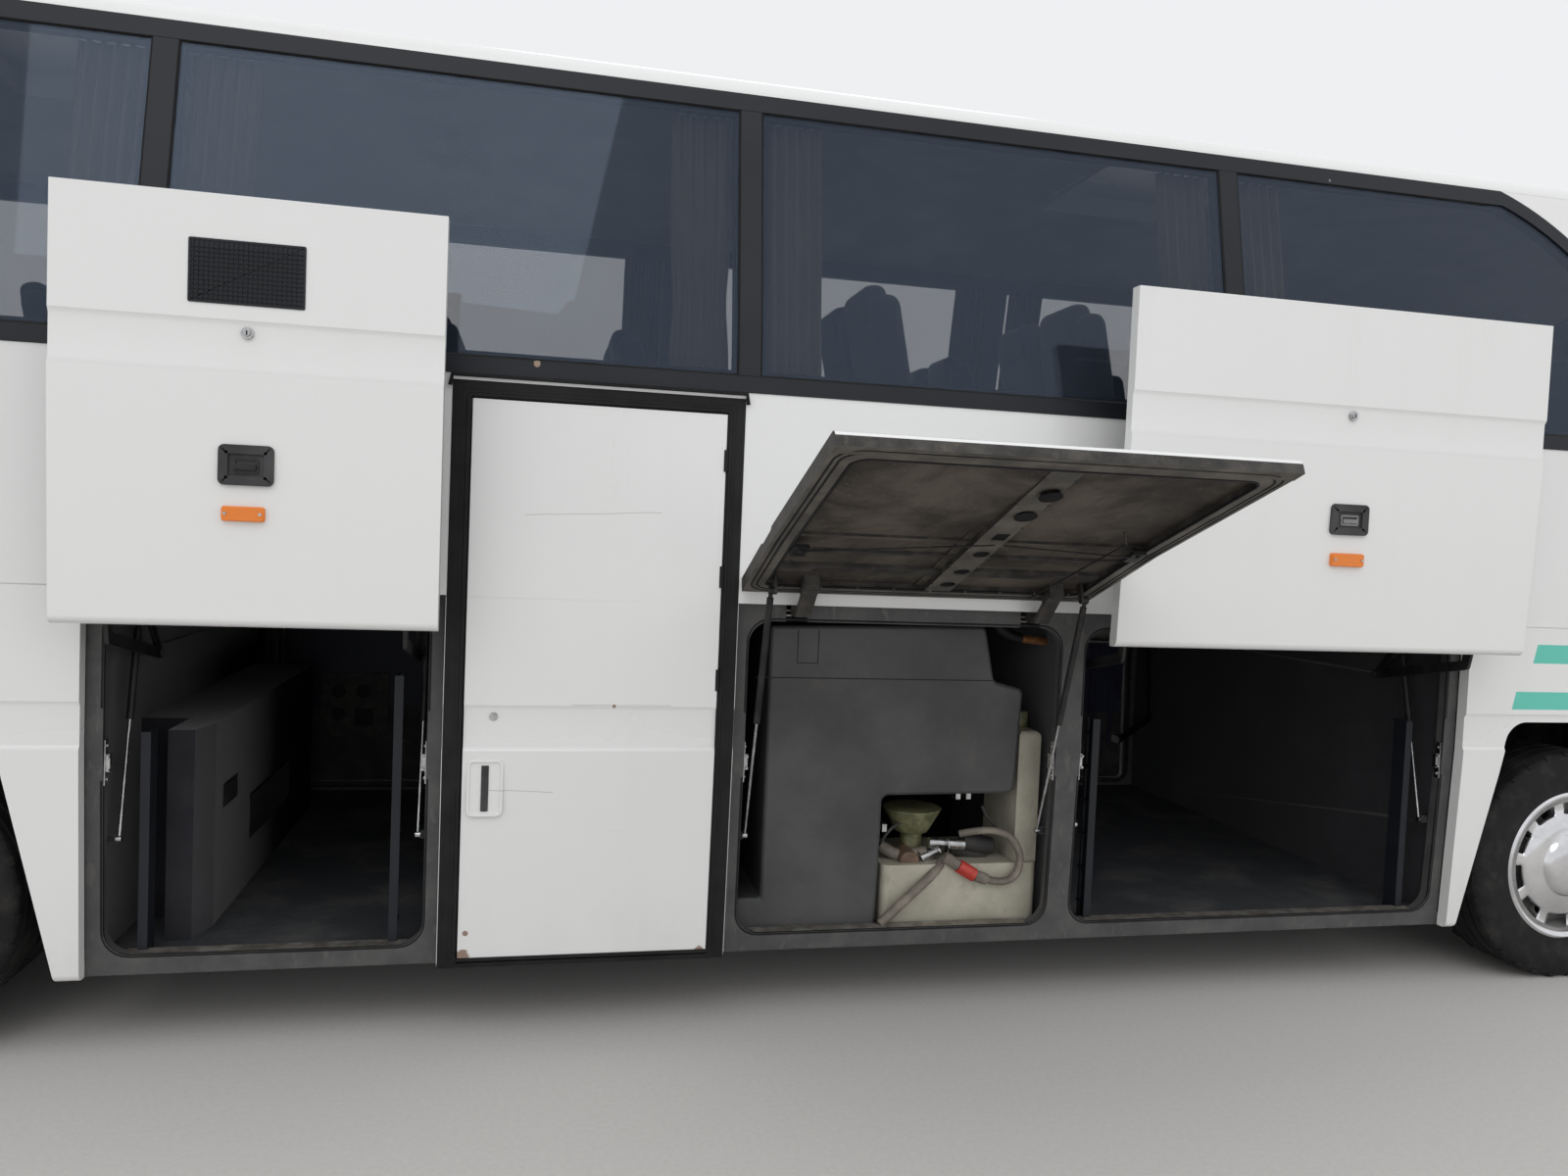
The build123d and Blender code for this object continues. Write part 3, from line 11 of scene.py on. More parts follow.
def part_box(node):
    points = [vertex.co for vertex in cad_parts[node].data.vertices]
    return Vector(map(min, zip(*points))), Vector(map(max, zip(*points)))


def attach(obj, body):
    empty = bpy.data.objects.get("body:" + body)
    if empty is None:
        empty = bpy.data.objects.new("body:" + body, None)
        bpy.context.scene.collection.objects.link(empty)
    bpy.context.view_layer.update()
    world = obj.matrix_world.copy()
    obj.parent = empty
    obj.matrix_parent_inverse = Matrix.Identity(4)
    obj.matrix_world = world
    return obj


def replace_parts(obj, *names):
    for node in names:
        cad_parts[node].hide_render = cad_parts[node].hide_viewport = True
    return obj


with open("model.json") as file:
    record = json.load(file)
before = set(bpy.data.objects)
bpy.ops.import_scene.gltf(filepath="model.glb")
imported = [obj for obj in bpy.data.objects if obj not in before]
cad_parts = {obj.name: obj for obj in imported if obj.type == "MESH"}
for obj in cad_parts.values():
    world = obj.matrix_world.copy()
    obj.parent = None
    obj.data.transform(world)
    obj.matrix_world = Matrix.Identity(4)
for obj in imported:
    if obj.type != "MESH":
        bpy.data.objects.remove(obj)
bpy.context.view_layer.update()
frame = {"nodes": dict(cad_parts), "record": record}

# The coach's own frame: x forward from its middle, y to its left from the centre plane, z up, in metres
coach = {"frontAxleX": 3.3, "wheelbase": 6.07, "halfWidth": 1.25, "tuckIn": 0.03, "tuckTop": 0.95, "skirt": 0.24}
lean = {"startZ": 2.08, "endZ": 2.38, "angle": math.radians(11)}  # of the side above the belt line
axleLow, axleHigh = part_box("front_axle")
coachMiddle = Vector(((axleLow.x + axleHigh.x) / 2 - coach["frontAxleX"], (axleLow.y + axleHigh.y) / 2, 0))
rearX = coach["frontAxleX"] - coach["wheelbase"]
random.seed(7)


def at(x, y, z):
    return coachMiddle + Vector((x, y, z))


# How far from the centre plane the side stands at a height: tucked in at the skirt, leaning in above
def sideAt(z):
    low = max(0.0, coach["tuckTop"] - z) / (coach["tuckTop"] - coach["skirt"])
    return coach["halfWidth"] - coach["tuckIn"] * low


def leanIn(z):
    radius = (lean["endZ"] - lean["startZ"]) / math.sin(lean["angle"])
    if z <= lean["startZ"]:
        return 0.0
    if z <= lean["endZ"]:
        return radius - math.sqrt(radius**2 - (z - lean["startZ"]) ** 2)
    return radius * (1 - math.cos(lean["angle"])) + (z - lean["endZ"]) * math.tan(lean["angle"])


# Shader maths written as sums: each operator adds one Math node, and flipped puts the signal second
def operator(operation, flipped=False):
    def method(self, other):
        first, second = (other, self) if flipped else (self, other)
        return self.shading.maths(operation, first, second)

    return method


# One output socket of a node
class Signal:
    __add__, __radd__ = operator("ADD"), operator("ADD", True)
    __sub__, __rsub__ = operator("SUBTRACT"), operator("SUBTRACT", True)
    __mul__, __rmul__ = operator("MULTIPLY"), operator("MULTIPLY", True)
    __gt__, __lt__ = operator("GREATER_THAN"), operator("LESS_THAN")

    def __init__(self, shading, socket):
        self.shading, self.socket = shading, socket

    def __abs__(self):
        return self.shading.maths("ABSOLUTE", self, 0.0)


class Shading:
    def __init__(self, tree):
        self.tree = tree
        tree.nodes.clear()

    def node(self, kind, settings, sockets, output=0):
        made = self.tree.nodes.new(kind)
        for setting, value in settings.items():
            setattr(made, setting, value)
        for socket, value in sockets.items():
            self.join(made.inputs[socket], value)
        return Signal(self, made.outputs[output]) if made.outputs else made

    def join(self, socket, value):
        if isinstance(value, Signal):
            self.tree.links.new(value.socket, socket)
        else:
            socket.default_value = value

    def maths(self, operation, first, second):
        return self.node("ShaderNodeMath", {"operation": operation}, {0: first, 1: second})


# A material with one principled shader; constants are that shader's fixed sockets
class Finish(Shading):
    def __init__(self, name, **constants):
        self.material = bpy.data.materials.new(name)
        self.material.use_nodes = True
        super().__init__(self.material.node_tree)
        surface = self.node("ShaderNodeBsdfPrincipled", {}, {})
        self.shader = surface.socket.node
        self.node("ShaderNodeOutputMaterial", {}, {0: surface})
        for socket, value in constants.items():
            self.feed(socket.replace("_", " "), value)

    def feed(self, socket, value):
        self.join(self.shader.inputs[socket], value)

    def mix(self, factor, first, second):
        first, second = ((*colour, 1) if isinstance(colour, tuple) else colour for colour in (first, second))
        return self.node("ShaderNodeMix", {"data_type": "RGBA"}, {0: factor, 6: first, 7: second}, 2)

    def place(self, stretch=(1, 1, 1)):
        raw = self.node("ShaderNodeTexCoord", {}, {}, "Object")
        return self.node("ShaderNodeMapping", {}, {"Vector": raw, "Scale": stretch})

    def along(self, axis):
        raw = self.node("ShaderNodeTexCoord", {}, {}, "Object")
        return self.node("ShaderNodeSeparateXYZ", {}, {0: raw}, axis)

    def noise(self, scale, detail=3.0, rough=0.5, stretch=(1, 1, 1), twist=0.0):
        sockets = {"Scale": scale, "Detail": detail, "Roughness": rough, "Distortion": twist}
        return self.node("ShaderNodeTexNoise", {}, {"Vector": self.place(stretch), **sockets}, "Fac")

    def cells(self, scale):
        return self.node("ShaderNodeTexVoronoi", {}, {"Vector": self.place(), "Scale": scale}, "Distance")

    def ribs(self, scale, axis="X", profile="SIN"):
        settings = {"bands_direction": axis, "wave_profile": profile}
        return self.node("ShaderNodeTexWave", settings, {"Vector": self.place(), "Scale": scale}, "Fac")

    def fade(self, value, start, end):
        sockets = {"Value": value, "From Min": start, "From Max": end}
        return self.node("ShaderNodeMapRange", {"interpolation_type": "SMOOTHSTEP"}, sockets)

    # A ragged spot on the kerb side of the coach
    def spot(self, x, z, radius):
        across, down = self.along("X") - (x + coachMiddle.x), self.along("Z") - z
        ragged = (across * across + down * down) * (self.noise(90.0, 3.0) * 1.6 + 0.2)
        return self.fade(ragged, radius * radius, radius * radius * 0.55) * (self.along("Y") < coachMiddle.y)

    # A fine scratch on the kerb side, level or rising forward
    def scratch(self, x, z, rise, half, thick):
        across = self.along("X") - (x + coachMiddle.x)
        off = abs(self.along("Z") - z - across * rise + (self.noise(12.0, 2.0) - 0.5) * 0.006)
        return (off < thick) * (abs(across) < half) * (self.along("Y") < coachMiddle.y)

    # Feeds the sockets that most finishes vary, and gives the finished material
    def cover(self, colour, rough=None, bump=None, deep=0.0, strength=0.6):
        self.feed("Base Color", colour)
        if rough:
            self.feed("Roughness", rough)
        if bump:
            sockets = {"Height": bump, "Distance": deep, "Strength": strength}
            self.feed("Normal", self.node("ShaderNodeBump", {}, sockets))
        return self.material


bodyPaint = {
    "paint": (0.775, 0.78, 0.77),
    "dust": (0.52, 0.48, 0.42),
    "streak": (0.66, 0.66, 0.64),
    "rubbed": (0.45, 0.45, 0.44),
    "stripe": (0.07, 0.545, 0.43),
    "stripes": ((2.959, 1.291, 1.365), (2.873, 1.109, 1.179)),  # start, bottom, top
    "stripeSlant": 0.23,
    "stripeEnd": 4.22,
    "scratches": (  # x, z, rise, half length, half width
        (-0.66, 1.708, 0.06, 0.215, 0.0011),
        (-0.86, 0.815, -0.04, 0.1, 0.0013),
        (-0.55, 1.094, 0.0, 0.16, 0.0012),
    ),
    "scratchTone": (0.3, 0.28, 0.26),
    "rustSpots": (  # x, z, radius
        (-1.03, 0.272, 0.03), (-0.262, 0.268, 0.016), (-1.02, 0.352, 0.01), (-0.575, 1.091, 0.007),
    ),
    "rust": (0.2, 0.095, 0.045),
}


# Bodywork: white paint with road dust near the skirt, rain streaks, fine scratches and stone chips
def makeWhitePaint():
    f = Finish("whitePaint", Coat_Weight=0.35, Coat_Roughness=0.12, Specular_IOR_Level=0.5)
    height = f.along("Z")
    low = f.fade(height, 1.15, 0.22) * f.noise(3.0, 6.0, 0.62, (1, 1, 0.35))
    streaks = f.fade(f.noise(5.0, 3.0, 0.5, (1, 1, 0.1)), 0.5, 0.85) * 0.16
    speckle = f.fade(f.noise(140.0, 3.0), 0.66, 0.74) * 0.22
    rubbed = f.fade(f.noise(7.0, 2.0, 0.5, (0.25, 1, 2.6), 1.2), 0.745, 0.76) * 0.2
    colour = f.mix(streaks, bodyPaint["paint"], bodyPaint["streak"])
    colour = f.mix(f.fade(low, 0.34, 0.9) * 0.42 + speckle * 0.25, colour, bodyPaint["dust"])
    colour = f.mix(rubbed, colour, bodyPaint["rubbed"])
    onSides = abs(f.along("Y") - coachMiddle.y) > 1.2
    slant = f.along("X") - height * bodyPaint["stripeSlant"]
    for start, bottom, top in bodyPaint["stripes"]:
        ends = (slant > start - top * bodyPaint["stripeSlant"]) * (slant < bodyPaint["stripeEnd"])
        stripe = (height > bottom) * (height < top) * ends * onSides
        colour = f.mix(stripe * 0.94, colour, bodyPaint["stripe"])
    for mark in bodyPaint["scratches"]:
        colour = f.mix(f.scratch(*mark) * 0.55, colour, bodyPaint["scratchTone"])
    for mark in bodyPaint["rustSpots"]:
        colour = f.mix(f.spot(*mark) * 0.85, colour, bodyPaint["rust"])
    waves = f.noise(60.0, 2.0) * 0.4 + f.noise(1.3, 1.0) * 1.2
    return f.cover(colour, 0.26 + low * 0.35 + streaks * 0.2, waves, 0.001, 0.22)


trimChips = ((-0.83, 3.073, 0.013), (-0.566, 3.064, 0.01), (-0.853, 2.169, 0.012), (0.67, 2.705, 0.006))


# Black strips of the window band, with paint chipped down to primer and rust
def makeBlackTrim():
    f = Finish("blackTrim", Specular_IOR_Level=0.35)
    wear = f.noise(7.0, 8.0, 0.68, (1, 1, 1.4))
    chips = f.fade(wear, 0.705, 0.715)
    dust = f.noise(2.4, 5.0, 0.6, (1, 1, 3.0))
    colour = f.mix(dust, (0.005, 0.006, 0.009), (0.019, 0.022, 0.028))
    colour = f.mix(chips, colour, (0.42, 0.4, 0.37))
    colour = f.mix(f.fade(wear, 0.735, 0.75), colour, (0.24, 0.1, 0.045))
    for x, z, radius in trimChips:
        colour = f.mix(f.spot(x, z, radius), colour, (0.33, 0.24, 0.18))
    flaked = wear * -1.0 * chips + f.noise(160.0, 2.0) * 0.2
    return f.cover(colour, 0.36 + dust * 0.25 + chips * 0.3, flaked, 0.0012, 0.5)


# Tinted glass with a thin uneven film of dust; cover is how much it hides
def makeTintedGlass(name, dark, light, cover):
    f = Finish(name, IOR=1.5, Specular_IOR_Level=0.9, Specular_Tint=(0.62, 0.78, 1.0, 1))
    film = f.noise(1.1, 3.0, 0.5, (1, 1, 0.4))
    f.feed("Alpha", cover + film * 0.06)
    return f.cover(f.mix(film, dark, light), 0.02 + f.fade(film, 0.45, 0.8) * 0.05)


# Steel frames of the bays: worn grey paint, rubbed edges, rust in patches
def makeGreyFrame():
    f = Finish("greyFrame")
    patch = f.noise(9.0, 7.0, 0.65)
    scuff = f.fade(f.noise(34.0, 4.0, 0.6, (1, 1, 0.3)), 0.58, 0.68)
    rust = f.fade(f.noise(5.0, 8.0, 0.7), 0.68, 0.74)
    colour = f.mix(f.fade(patch, 0.3, 0.75), (0.055, 0.055, 0.057), (0.092, 0.091, 0.088))
    colour = f.mix(scuff * 0.45, colour, (0.2, 0.195, 0.185))
    colour = f.mix(rust * 0.7, colour, (0.19, 0.1, 0.06))
    f.feed("Metallic", scuff * 0.5)
    return f.cover(colour, 0.45 + patch * 0.35, patch * 0.6 + scuff * 0.5, 0.002, 0.5)


# Needle felt on the bay walls
def makeBayCarpet():
    f = Finish("bayCarpet", Roughness=0.95, Sheen_Weight=0.25)
    fibre = f.noise(260.0, 4.0, 0.7)
    patch = f.noise(3.5, 6.0, 0.6)
    colour = f.mix(f.fade(patch, 0.4, 0.75), (0.005, 0.005, 0.01), (0.02, 0.02, 0.026))
    return f.cover(f.mix(fibre * 0.3, colour, (0.035, 0.035, 0.042)), None, fibre, 0.003, 0.8)


# Ribbed rubber mats and floor sheet
def makeFloorMat():
    f = Finish("floorMat")
    rib = f.ribs(62.0, "Y")
    grit = f.noise(90.0, 5.0, 0.7)
    dust = f.noise(4.0, 6.0, 0.65)
    colour = f.mix(rib, (0.02, 0.022, 0.027), (0.052, 0.056, 0.064))
    colour = f.mix(f.fade(dust, 0.42, 0.8) * 0.6, colour, (0.15, 0.145, 0.135))
    return f.cover(colour, 0.6 + grit * 0.3, rib * 0.8 + grit * 0.3, 0.003, 0.8)


# Plain painted or moulded finishes: dark and light tones, their patch size, gloss and grain
def makeMottled(name, dark, light, patch, rough, grain, dirt=0.0, metal=0.0, grainDeep=0.0008, **constants):
    f = Finish(name, Metallic=metal, **constants)
    tone = f.noise(patch, 6.0, 0.62)
    colour = f.mix(f.fade(tone, 0.32, 0.72), dark, light)
    stain = f.fade(f.noise(patch * 2.3, 8.0, 0.7, (1, 1, 0.5)), 0.56, 0.74) * dirt
    colour = f.mix(stain, colour, (0.13, 0.105, 0.075))
    return f.cover(colour, rough + (tone - 0.5) * 0.25 + stain * 0.2, f.noise(grain, 3.0, 0.6), grainDeep)


# Tyre rubber: fine grain and a film of dust
def makeTyreRubber():
    f = Finish("tyreRubber", Specular_IOR_Level=0.3)
    dust = f.noise(14.0, 6.0, 0.65)
    colour = f.mix(f.fade(dust, 0.4, 0.8), (0.008, 0.008, 0.009), (0.034, 0.032, 0.029))
    return f.cover(colour, 0.62 + dust * 0.3, f.noise(300.0, 2.0), 0.0006, 0.5)


# Woven cloth: two crossed thread directions and a slow colour change
def makeCloth(name, dark, light, weave, fold):
    f = Finish(name, Roughness=0.92, Sheen_Weight=0.3)
    thread = f.ribs(weave, "X") * f.ribs(weave, "Z")
    slow = f.noise(fold, 4.0, 0.6, (1, 1, 0.25))
    colour = f.mix(f.fade(slow, 0.3, 0.75), dark, light)
    colour = f.mix(thread * 0.3, colour, tuple(0.6 * c for c in dark))
    return f.cover(colour, None, thread + f.noise(weave * 3, 2.0) * 0.4, 0.0012, 0.5)


# Lenses: tinted plastic over a moulded prism pattern
def makeLens(name, tint, glow=0.0):
    f = Finish(name, Coat_Weight=0.6, Coat_Roughness=0.06, Specular_IOR_Level=0.6)
    prism = f.ribs(90.0, "X", "SAW") * 0.5 + f.ribs(90.0, "Z", "SAW") * 0.5
    if glow:
        f.feed("Emission Color", f.mix(prism, tint, tuple(min(1, c * 1.5) for c in tint)))
        f.feed("Emission Strength", glow)
    colour = f.mix(prism * 0.6, tint, tuple(min(1, c * 1.5 + 0.01) for c in tint))
    return f.cover(colour, 0.12 + prism * 0.15, prism, 0.002, 0.7)


# Inside of the service flap: raw sheet under years of road dirt
def makeFlapLining():
    f = Finish("flapLining")
    soil = f.noise(3.2, 8.0, 0.68, twist=0.4)
    drops = f.fade(f.cells(26.0), 0.16, 0.05) * 0.35
    colour = f.mix(f.fade(soil, 0.34, 0.68), (0.026, 0.021, 0.017), (0.12, 0.1, 0.08))
    colour = f.mix(drops, colour, (0.2, 0.18, 0.155))
    return f.cover(colour, 0.62 + soil * 0.3, soil + f.noise(60.0, 4.0) * 0.3, 0.003)


print("materials")
finishes = {
    "white_paint": makeWhitePaint(),
    "black_trim": makeBlackTrim(),
    "tinted_glass": makeTintedGlass("tintedGlass", (0.022, 0.03, 0.048), (0.04, 0.052, 0.074), 0.36),
    # The far panes are the same glass painted a brighter teal than the near ones: painted daylight showing through
    # the coach
    "farGlass": makeTintedGlass("farGlass", (0.08, 0.3, 0.29), (0.11, 0.36, 0.34), 0.2),
    "grey_frame": makeGreyFrame(),
    "bay_carpet": makeBayCarpet(),
    "floor_mat": makeFloorMat(),
    "tyre_rubber": makeTyreRubber(),
    "seat_cloth": makeCloth("seatCloth", (0.016, 0.017, 0.026), (0.045, 0.042, 0.052), 210, 3.0),
    "curtain_cloth": makeCloth("curtainCloth", (0.085, 0.06, 0.042), (0.16, 0.12, 0.088), 260, 6.0),
    "lamp_lens": makeLens("lampLens", (0.55, 0.57, 0.6)),
    "redLamp": makeLens("redLamp", (0.5, 0.016, 0.012)),
    "amberLens": makeLens("amberLens", (0.7, 0.17, 0.003), 0.1),
    "flapLining": makeFlapLining(),
    "seal_rubber": makeMottled(
        "sealRubber", (0.004, 0.004, 0.005), (0.013, 0.013, 0.014), 9, 0.6, 260, Specular_IOR_Level=0.3
    ),
}
mottled = {  # dark and light tone, patch size, gloss, grain, dirt, metal, grain depth
    "black_steel": ((0.008, 0.008, 0.009), (0.03, 0.029, 0.028), 12, 0.5, 120, 0.4, 0.3),
    "wheel_steel": ((0.2, 0.2, 0.2), (0.36, 0.36, 0.35), 9, 0.42, 200, 0.6, 0.6),
    "chrome_trim": ((0.62, 0.62, 0.63), (0.82, 0.82, 0.83), 5, 0.12, 400, 0.0, 1.0, 0.0002),
    "rod_steel": ((0.38, 0.38, 0.38), (0.62, 0.62, 0.62), 30, 0.26, 500, 0.0, 1.0, 0.0002),
    "cab_plastic": ((0.022, 0.022, 0.024), (0.055, 0.055, 0.058), 6, 0.6, 380),
    "housing_plastic": ((0.042, 0.043, 0.045), (0.08, 0.081, 0.082), 2.4, 0.55, 240, 0.35),
    "tank_plastic": ((0.36, 0.34, 0.27), (0.52, 0.5, 0.41), 4.5, 0.42, 90, 0.55),
    "fitting_plastic": ((0.1, 0.1, 0.05), (0.24, 0.24, 0.13), 30, 0.45, 200, 0.6),
    "engine_iron": ((0.03, 0.03, 0.03), (0.11, 0.1, 0.09), 8, 0.6, 60, 0.8, 0.5, 0.003),
    "roofLining": ((0.26, 0.25, 0.23), (0.36, 0.35, 0.32), 3, 0.9, 300),
    "wallLining": ((0.05, 0.055, 0.06), (0.1, 0.105, 0.11), 3, 0.85, 300),
    "flapInside": ((0.02, 0.02, 0.02), (0.06, 0.058, 0.055), 7, 0.7, 90, 0.5),
    "rimSteel": ((0.018, 0.017, 0.016), (0.07, 0.064, 0.056), 16, 0.6, 120, 0.9),
    "channelSteel": ((0.075, 0.07, 0.062), (0.17, 0.155, 0.135), 9, 0.6, 120, 0.7),
    "mirrorGlass": ((0.7, 0.72, 0.74), (0.8, 0.81, 0.82), 3, 0.04, 50, 0.0, 1.0, 0.0),
    "wornSill": ((0.16, 0.145, 0.125), (0.4, 0.375, 0.34), 22, 0.4, 160, 0.8, 0.55, 0.0006),
    "navyWall": ((0.008, 0.01, 0.03), (0.024, 0.028, 0.066), 2.5, 0.55, 60, 0.25),
    "brownCap": ((0.1, 0.06, 0.04), (0.2, 0.13, 0.09), 20, 0.5, 200, 0.6),
    "hoseGrey": ((0.13, 0.11, 0.09), (0.26, 0.23, 0.19), 14, 0.55, 260, 0.7),
    "couplingRed": ((0.42, 0.03, 0.02), (0.62, 0.07, 0.05), 30, 0.4, 200, 0.4),
    "copperHose": ((0.36, 0.15, 0.06), (0.52, 0.25, 0.11), 30, 0.45, 200, 0.0, 0.6),
    "plateWhite": ((0.58, 0.58, 0.55), (0.68, 0.68, 0.66), 8, 0.4, 120, 0.3),
}
for name, values in mottled.items():
    head, *tail = name.split("_")
    finishes[name] = makeMottled(head + "".join(tail).title(), *values)

nodeBody = {node: body for body, nodes in frame["record"]["behaviour"]["bodies"].items() for node in nodes}
nodeSlot = {entry["node"]: entry["material_slot"] for entry in frame["record"]["subparts"]}
for node, slotName in nodeSlot.items():
    mesh = frame["nodes"][node].data
    mesh.materials.clear()
    mesh.materials.append(finishes[slotName])


def addObject(name, data):
    made = bpy.data.objects.new(name, data)
    bpy.context.scene.collection.objects.link(made)
    return made


# Writes a mesh as an object with its materials
def addMesh(name, bm, materials):
    mesh = bpy.data.meshes.new(name)
    bm.to_mesh(mesh)
    bm.free()
    for material in materials:
        mesh.materials.append(material)
    return addObject(name, mesh)


# A piece on its body, smooth up to an angle, with its edges softened
def finishPiece(name, bm, slotName, body="root", looks=(), smooth=35, bevel=0.0):
    piece = addMesh(name, bm, [finishes[look] for look in looks or [slotName]])
    mesh = piece.data
    mesh.shade_smooth()
    mesh.set_sharp_from_angle(angle=math.radians(smooth))
    if bevel:
        edge = piece.modifiers.new("softEdge", "BEVEL")
        edge.width, edge.segments, edge.limit_method = bevel, 2, "ANGLE"
        edge.angle_limit = math.radians(40)
        weigh = piece.modifiers.new("evenFacing", "WEIGHTED_NORMAL")
        weigh.keep_sharp = True
    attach(piece, body)
    return piece


# The same for a mesh that was built in the coach's own frame
def addPiece(name, bm, slotName, **options):
    bmesh.ops.translate(bm, vec=coachMiddle, verts=bm.verts)
    return finishPiece(name, bm, slotName, **options)


# A CAD node's own shape, merged into whole faces so that edges can be softened and curves read smooth.
# With choose, each face takes the slot's own look or one of the others from its place and normal.
def softenNode(node, bevel=0.0015, smooth=18, others=(), choose=None, mend=None):
    bm = bmesh.new()
    bm.from_mesh(frame["nodes"][node].data)
    bmesh.ops.remove_doubles(bm, verts=bm.verts, dist=0.00002)
    bmesh.ops.dissolve_limit(bm, angle_limit=math.radians(0.6), verts=bm.verts, edges=bm.edges)
    if mend:
        mend(bm)
    if choose:
        for face in bm.faces:
            face.material_index = int(choose(face.calc_center_median() - coachMiddle, face.normal))
    looks = [nodeSlot[node], *others]
    piece = finishPiece(node + "Soft", bm, nodeSlot[node], nodeBody[node], looks, smooth, bevel)
    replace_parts(piece, node)


# Plain forms that are added to a bmesh, in the coach's frame
def addBlock(bm, low, high):
    low, high = Vector(low), Vector(high)
    made = bmesh.ops.create_cube(bm, size=1)["verts"]
    bmesh.ops.scale(bm, vec=[abs(size) for size in high - low], verts=made)
    bmesh.ops.translate(bm, vec=(high + low) / 2, verts=made)


def addBar(bm, start, end, radius, segments=16, endRadius=None):
    start, end = Vector(start), Vector(end)
    turn = (end - start).to_track_quat("Z", "Y").to_matrix().to_4x4()
    sizes = {"radius1": radius, "radius2": endRadius or radius, "depth": (end - start).length}
    place = Matrix.Translation((start + end) / 2) @ turn
    bmesh.ops.create_cone(bm, cap_ends=True, segments=segments, matrix=place, **sizes)


# A rounded rectangle that faces the side of the coach, as its corner points
def roundedCorners(centre, wide, high, radius, steps=5):
    points = []
    for cx, cz, start in ((1, 1, 0), (-1, 1, 90), (-1, -1, 180), (1, -1, 270)):
        for i in range(steps + 1):
            a = math.radians(start + 90 * i / steps)
            u = cx * (wide / 2 - radius) + radius * math.cos(a)
            v = cz * (high / 2 - radius) + radius * math.sin(a)
            points.append(Vector(centre) + Vector((u, 0, v)))
    return points


# A rounded plate on the kerb side that stands proud, with a dish sunk inside its rim
def addDish(bm, centre, wide, high, radius, proud, rim, deep):
    face = bm.faces.new([bm.verts.new(point) for point in roundedCorners(centre, wide, high, radius)])
    top = bmesh.ops.extrude_face_region(bm, geom=[face])["geom"]
    moved = [v for v in top if isinstance(v, bmesh.types.BMVert)]
    bmesh.ops.translate(bm, vec=(0, -proud, 0), verts=moved)
    crown = [f for f in top if isinstance(f, bmesh.types.BMFace)]
    bmesh.ops.inset_region(bm, faces=crown, thickness=rim)
    bmesh.ops.inset_region(bm, faces=crown, thickness=rim * 0.12, depth=-deep)
    bmesh.ops.recalc_face_normals(bm, faces=bm.faces)


# A hose, rod or bead along chosen points, with round bends where it is smooth
def addPipe(bm, points, radius, sides=16, smoothBends=True, closed=False):
    curve = bpy.data.curves.new("route", "CURVE")
    curve.dimensions, curve.bevel_depth, curve.use_fill_caps = "3D", radius, True
    curve.bevel_resolution = max(0, sides // 4 - 1)
    curve.resolution_u = 8
    spline = curve.splines.new("NURBS" if smoothBends else "POLY")
    spline.points.add(len(points) - 1)
    for knot, point in zip(spline.points, points):
        knot.co = (*point, 1)
    spline.use_cyclic_u = closed
    if smoothBends:
        spline.order_u, spline.use_endpoint_u = 3, True
    holder = bpy.data.objects.new("route", curve)
    bm.from_mesh(bpy.data.meshes.new_from_object(holder))
    bpy.data.objects.remove(holder)
    bpy.data.curves.remove(curve)


def span(middle, half):
    return middle - half, middle + half


# Raised luggage flaps: a point by its place on the skin and how far it stands proud of it
raised = {"out": 0.27, "rise": 1.1}


def flapPoint(x, z, proud=0.0):
    return Vector((x, -(sideAt(z - raised["rise"]) + raised["out"] + proud), z))


def addFlapBlock(bm, xs, zs, outer, inner):
    addBlock(bm, flapPoint(xs[0], zs[0], outer), flapPoint(xs[1], zs[1], inner))


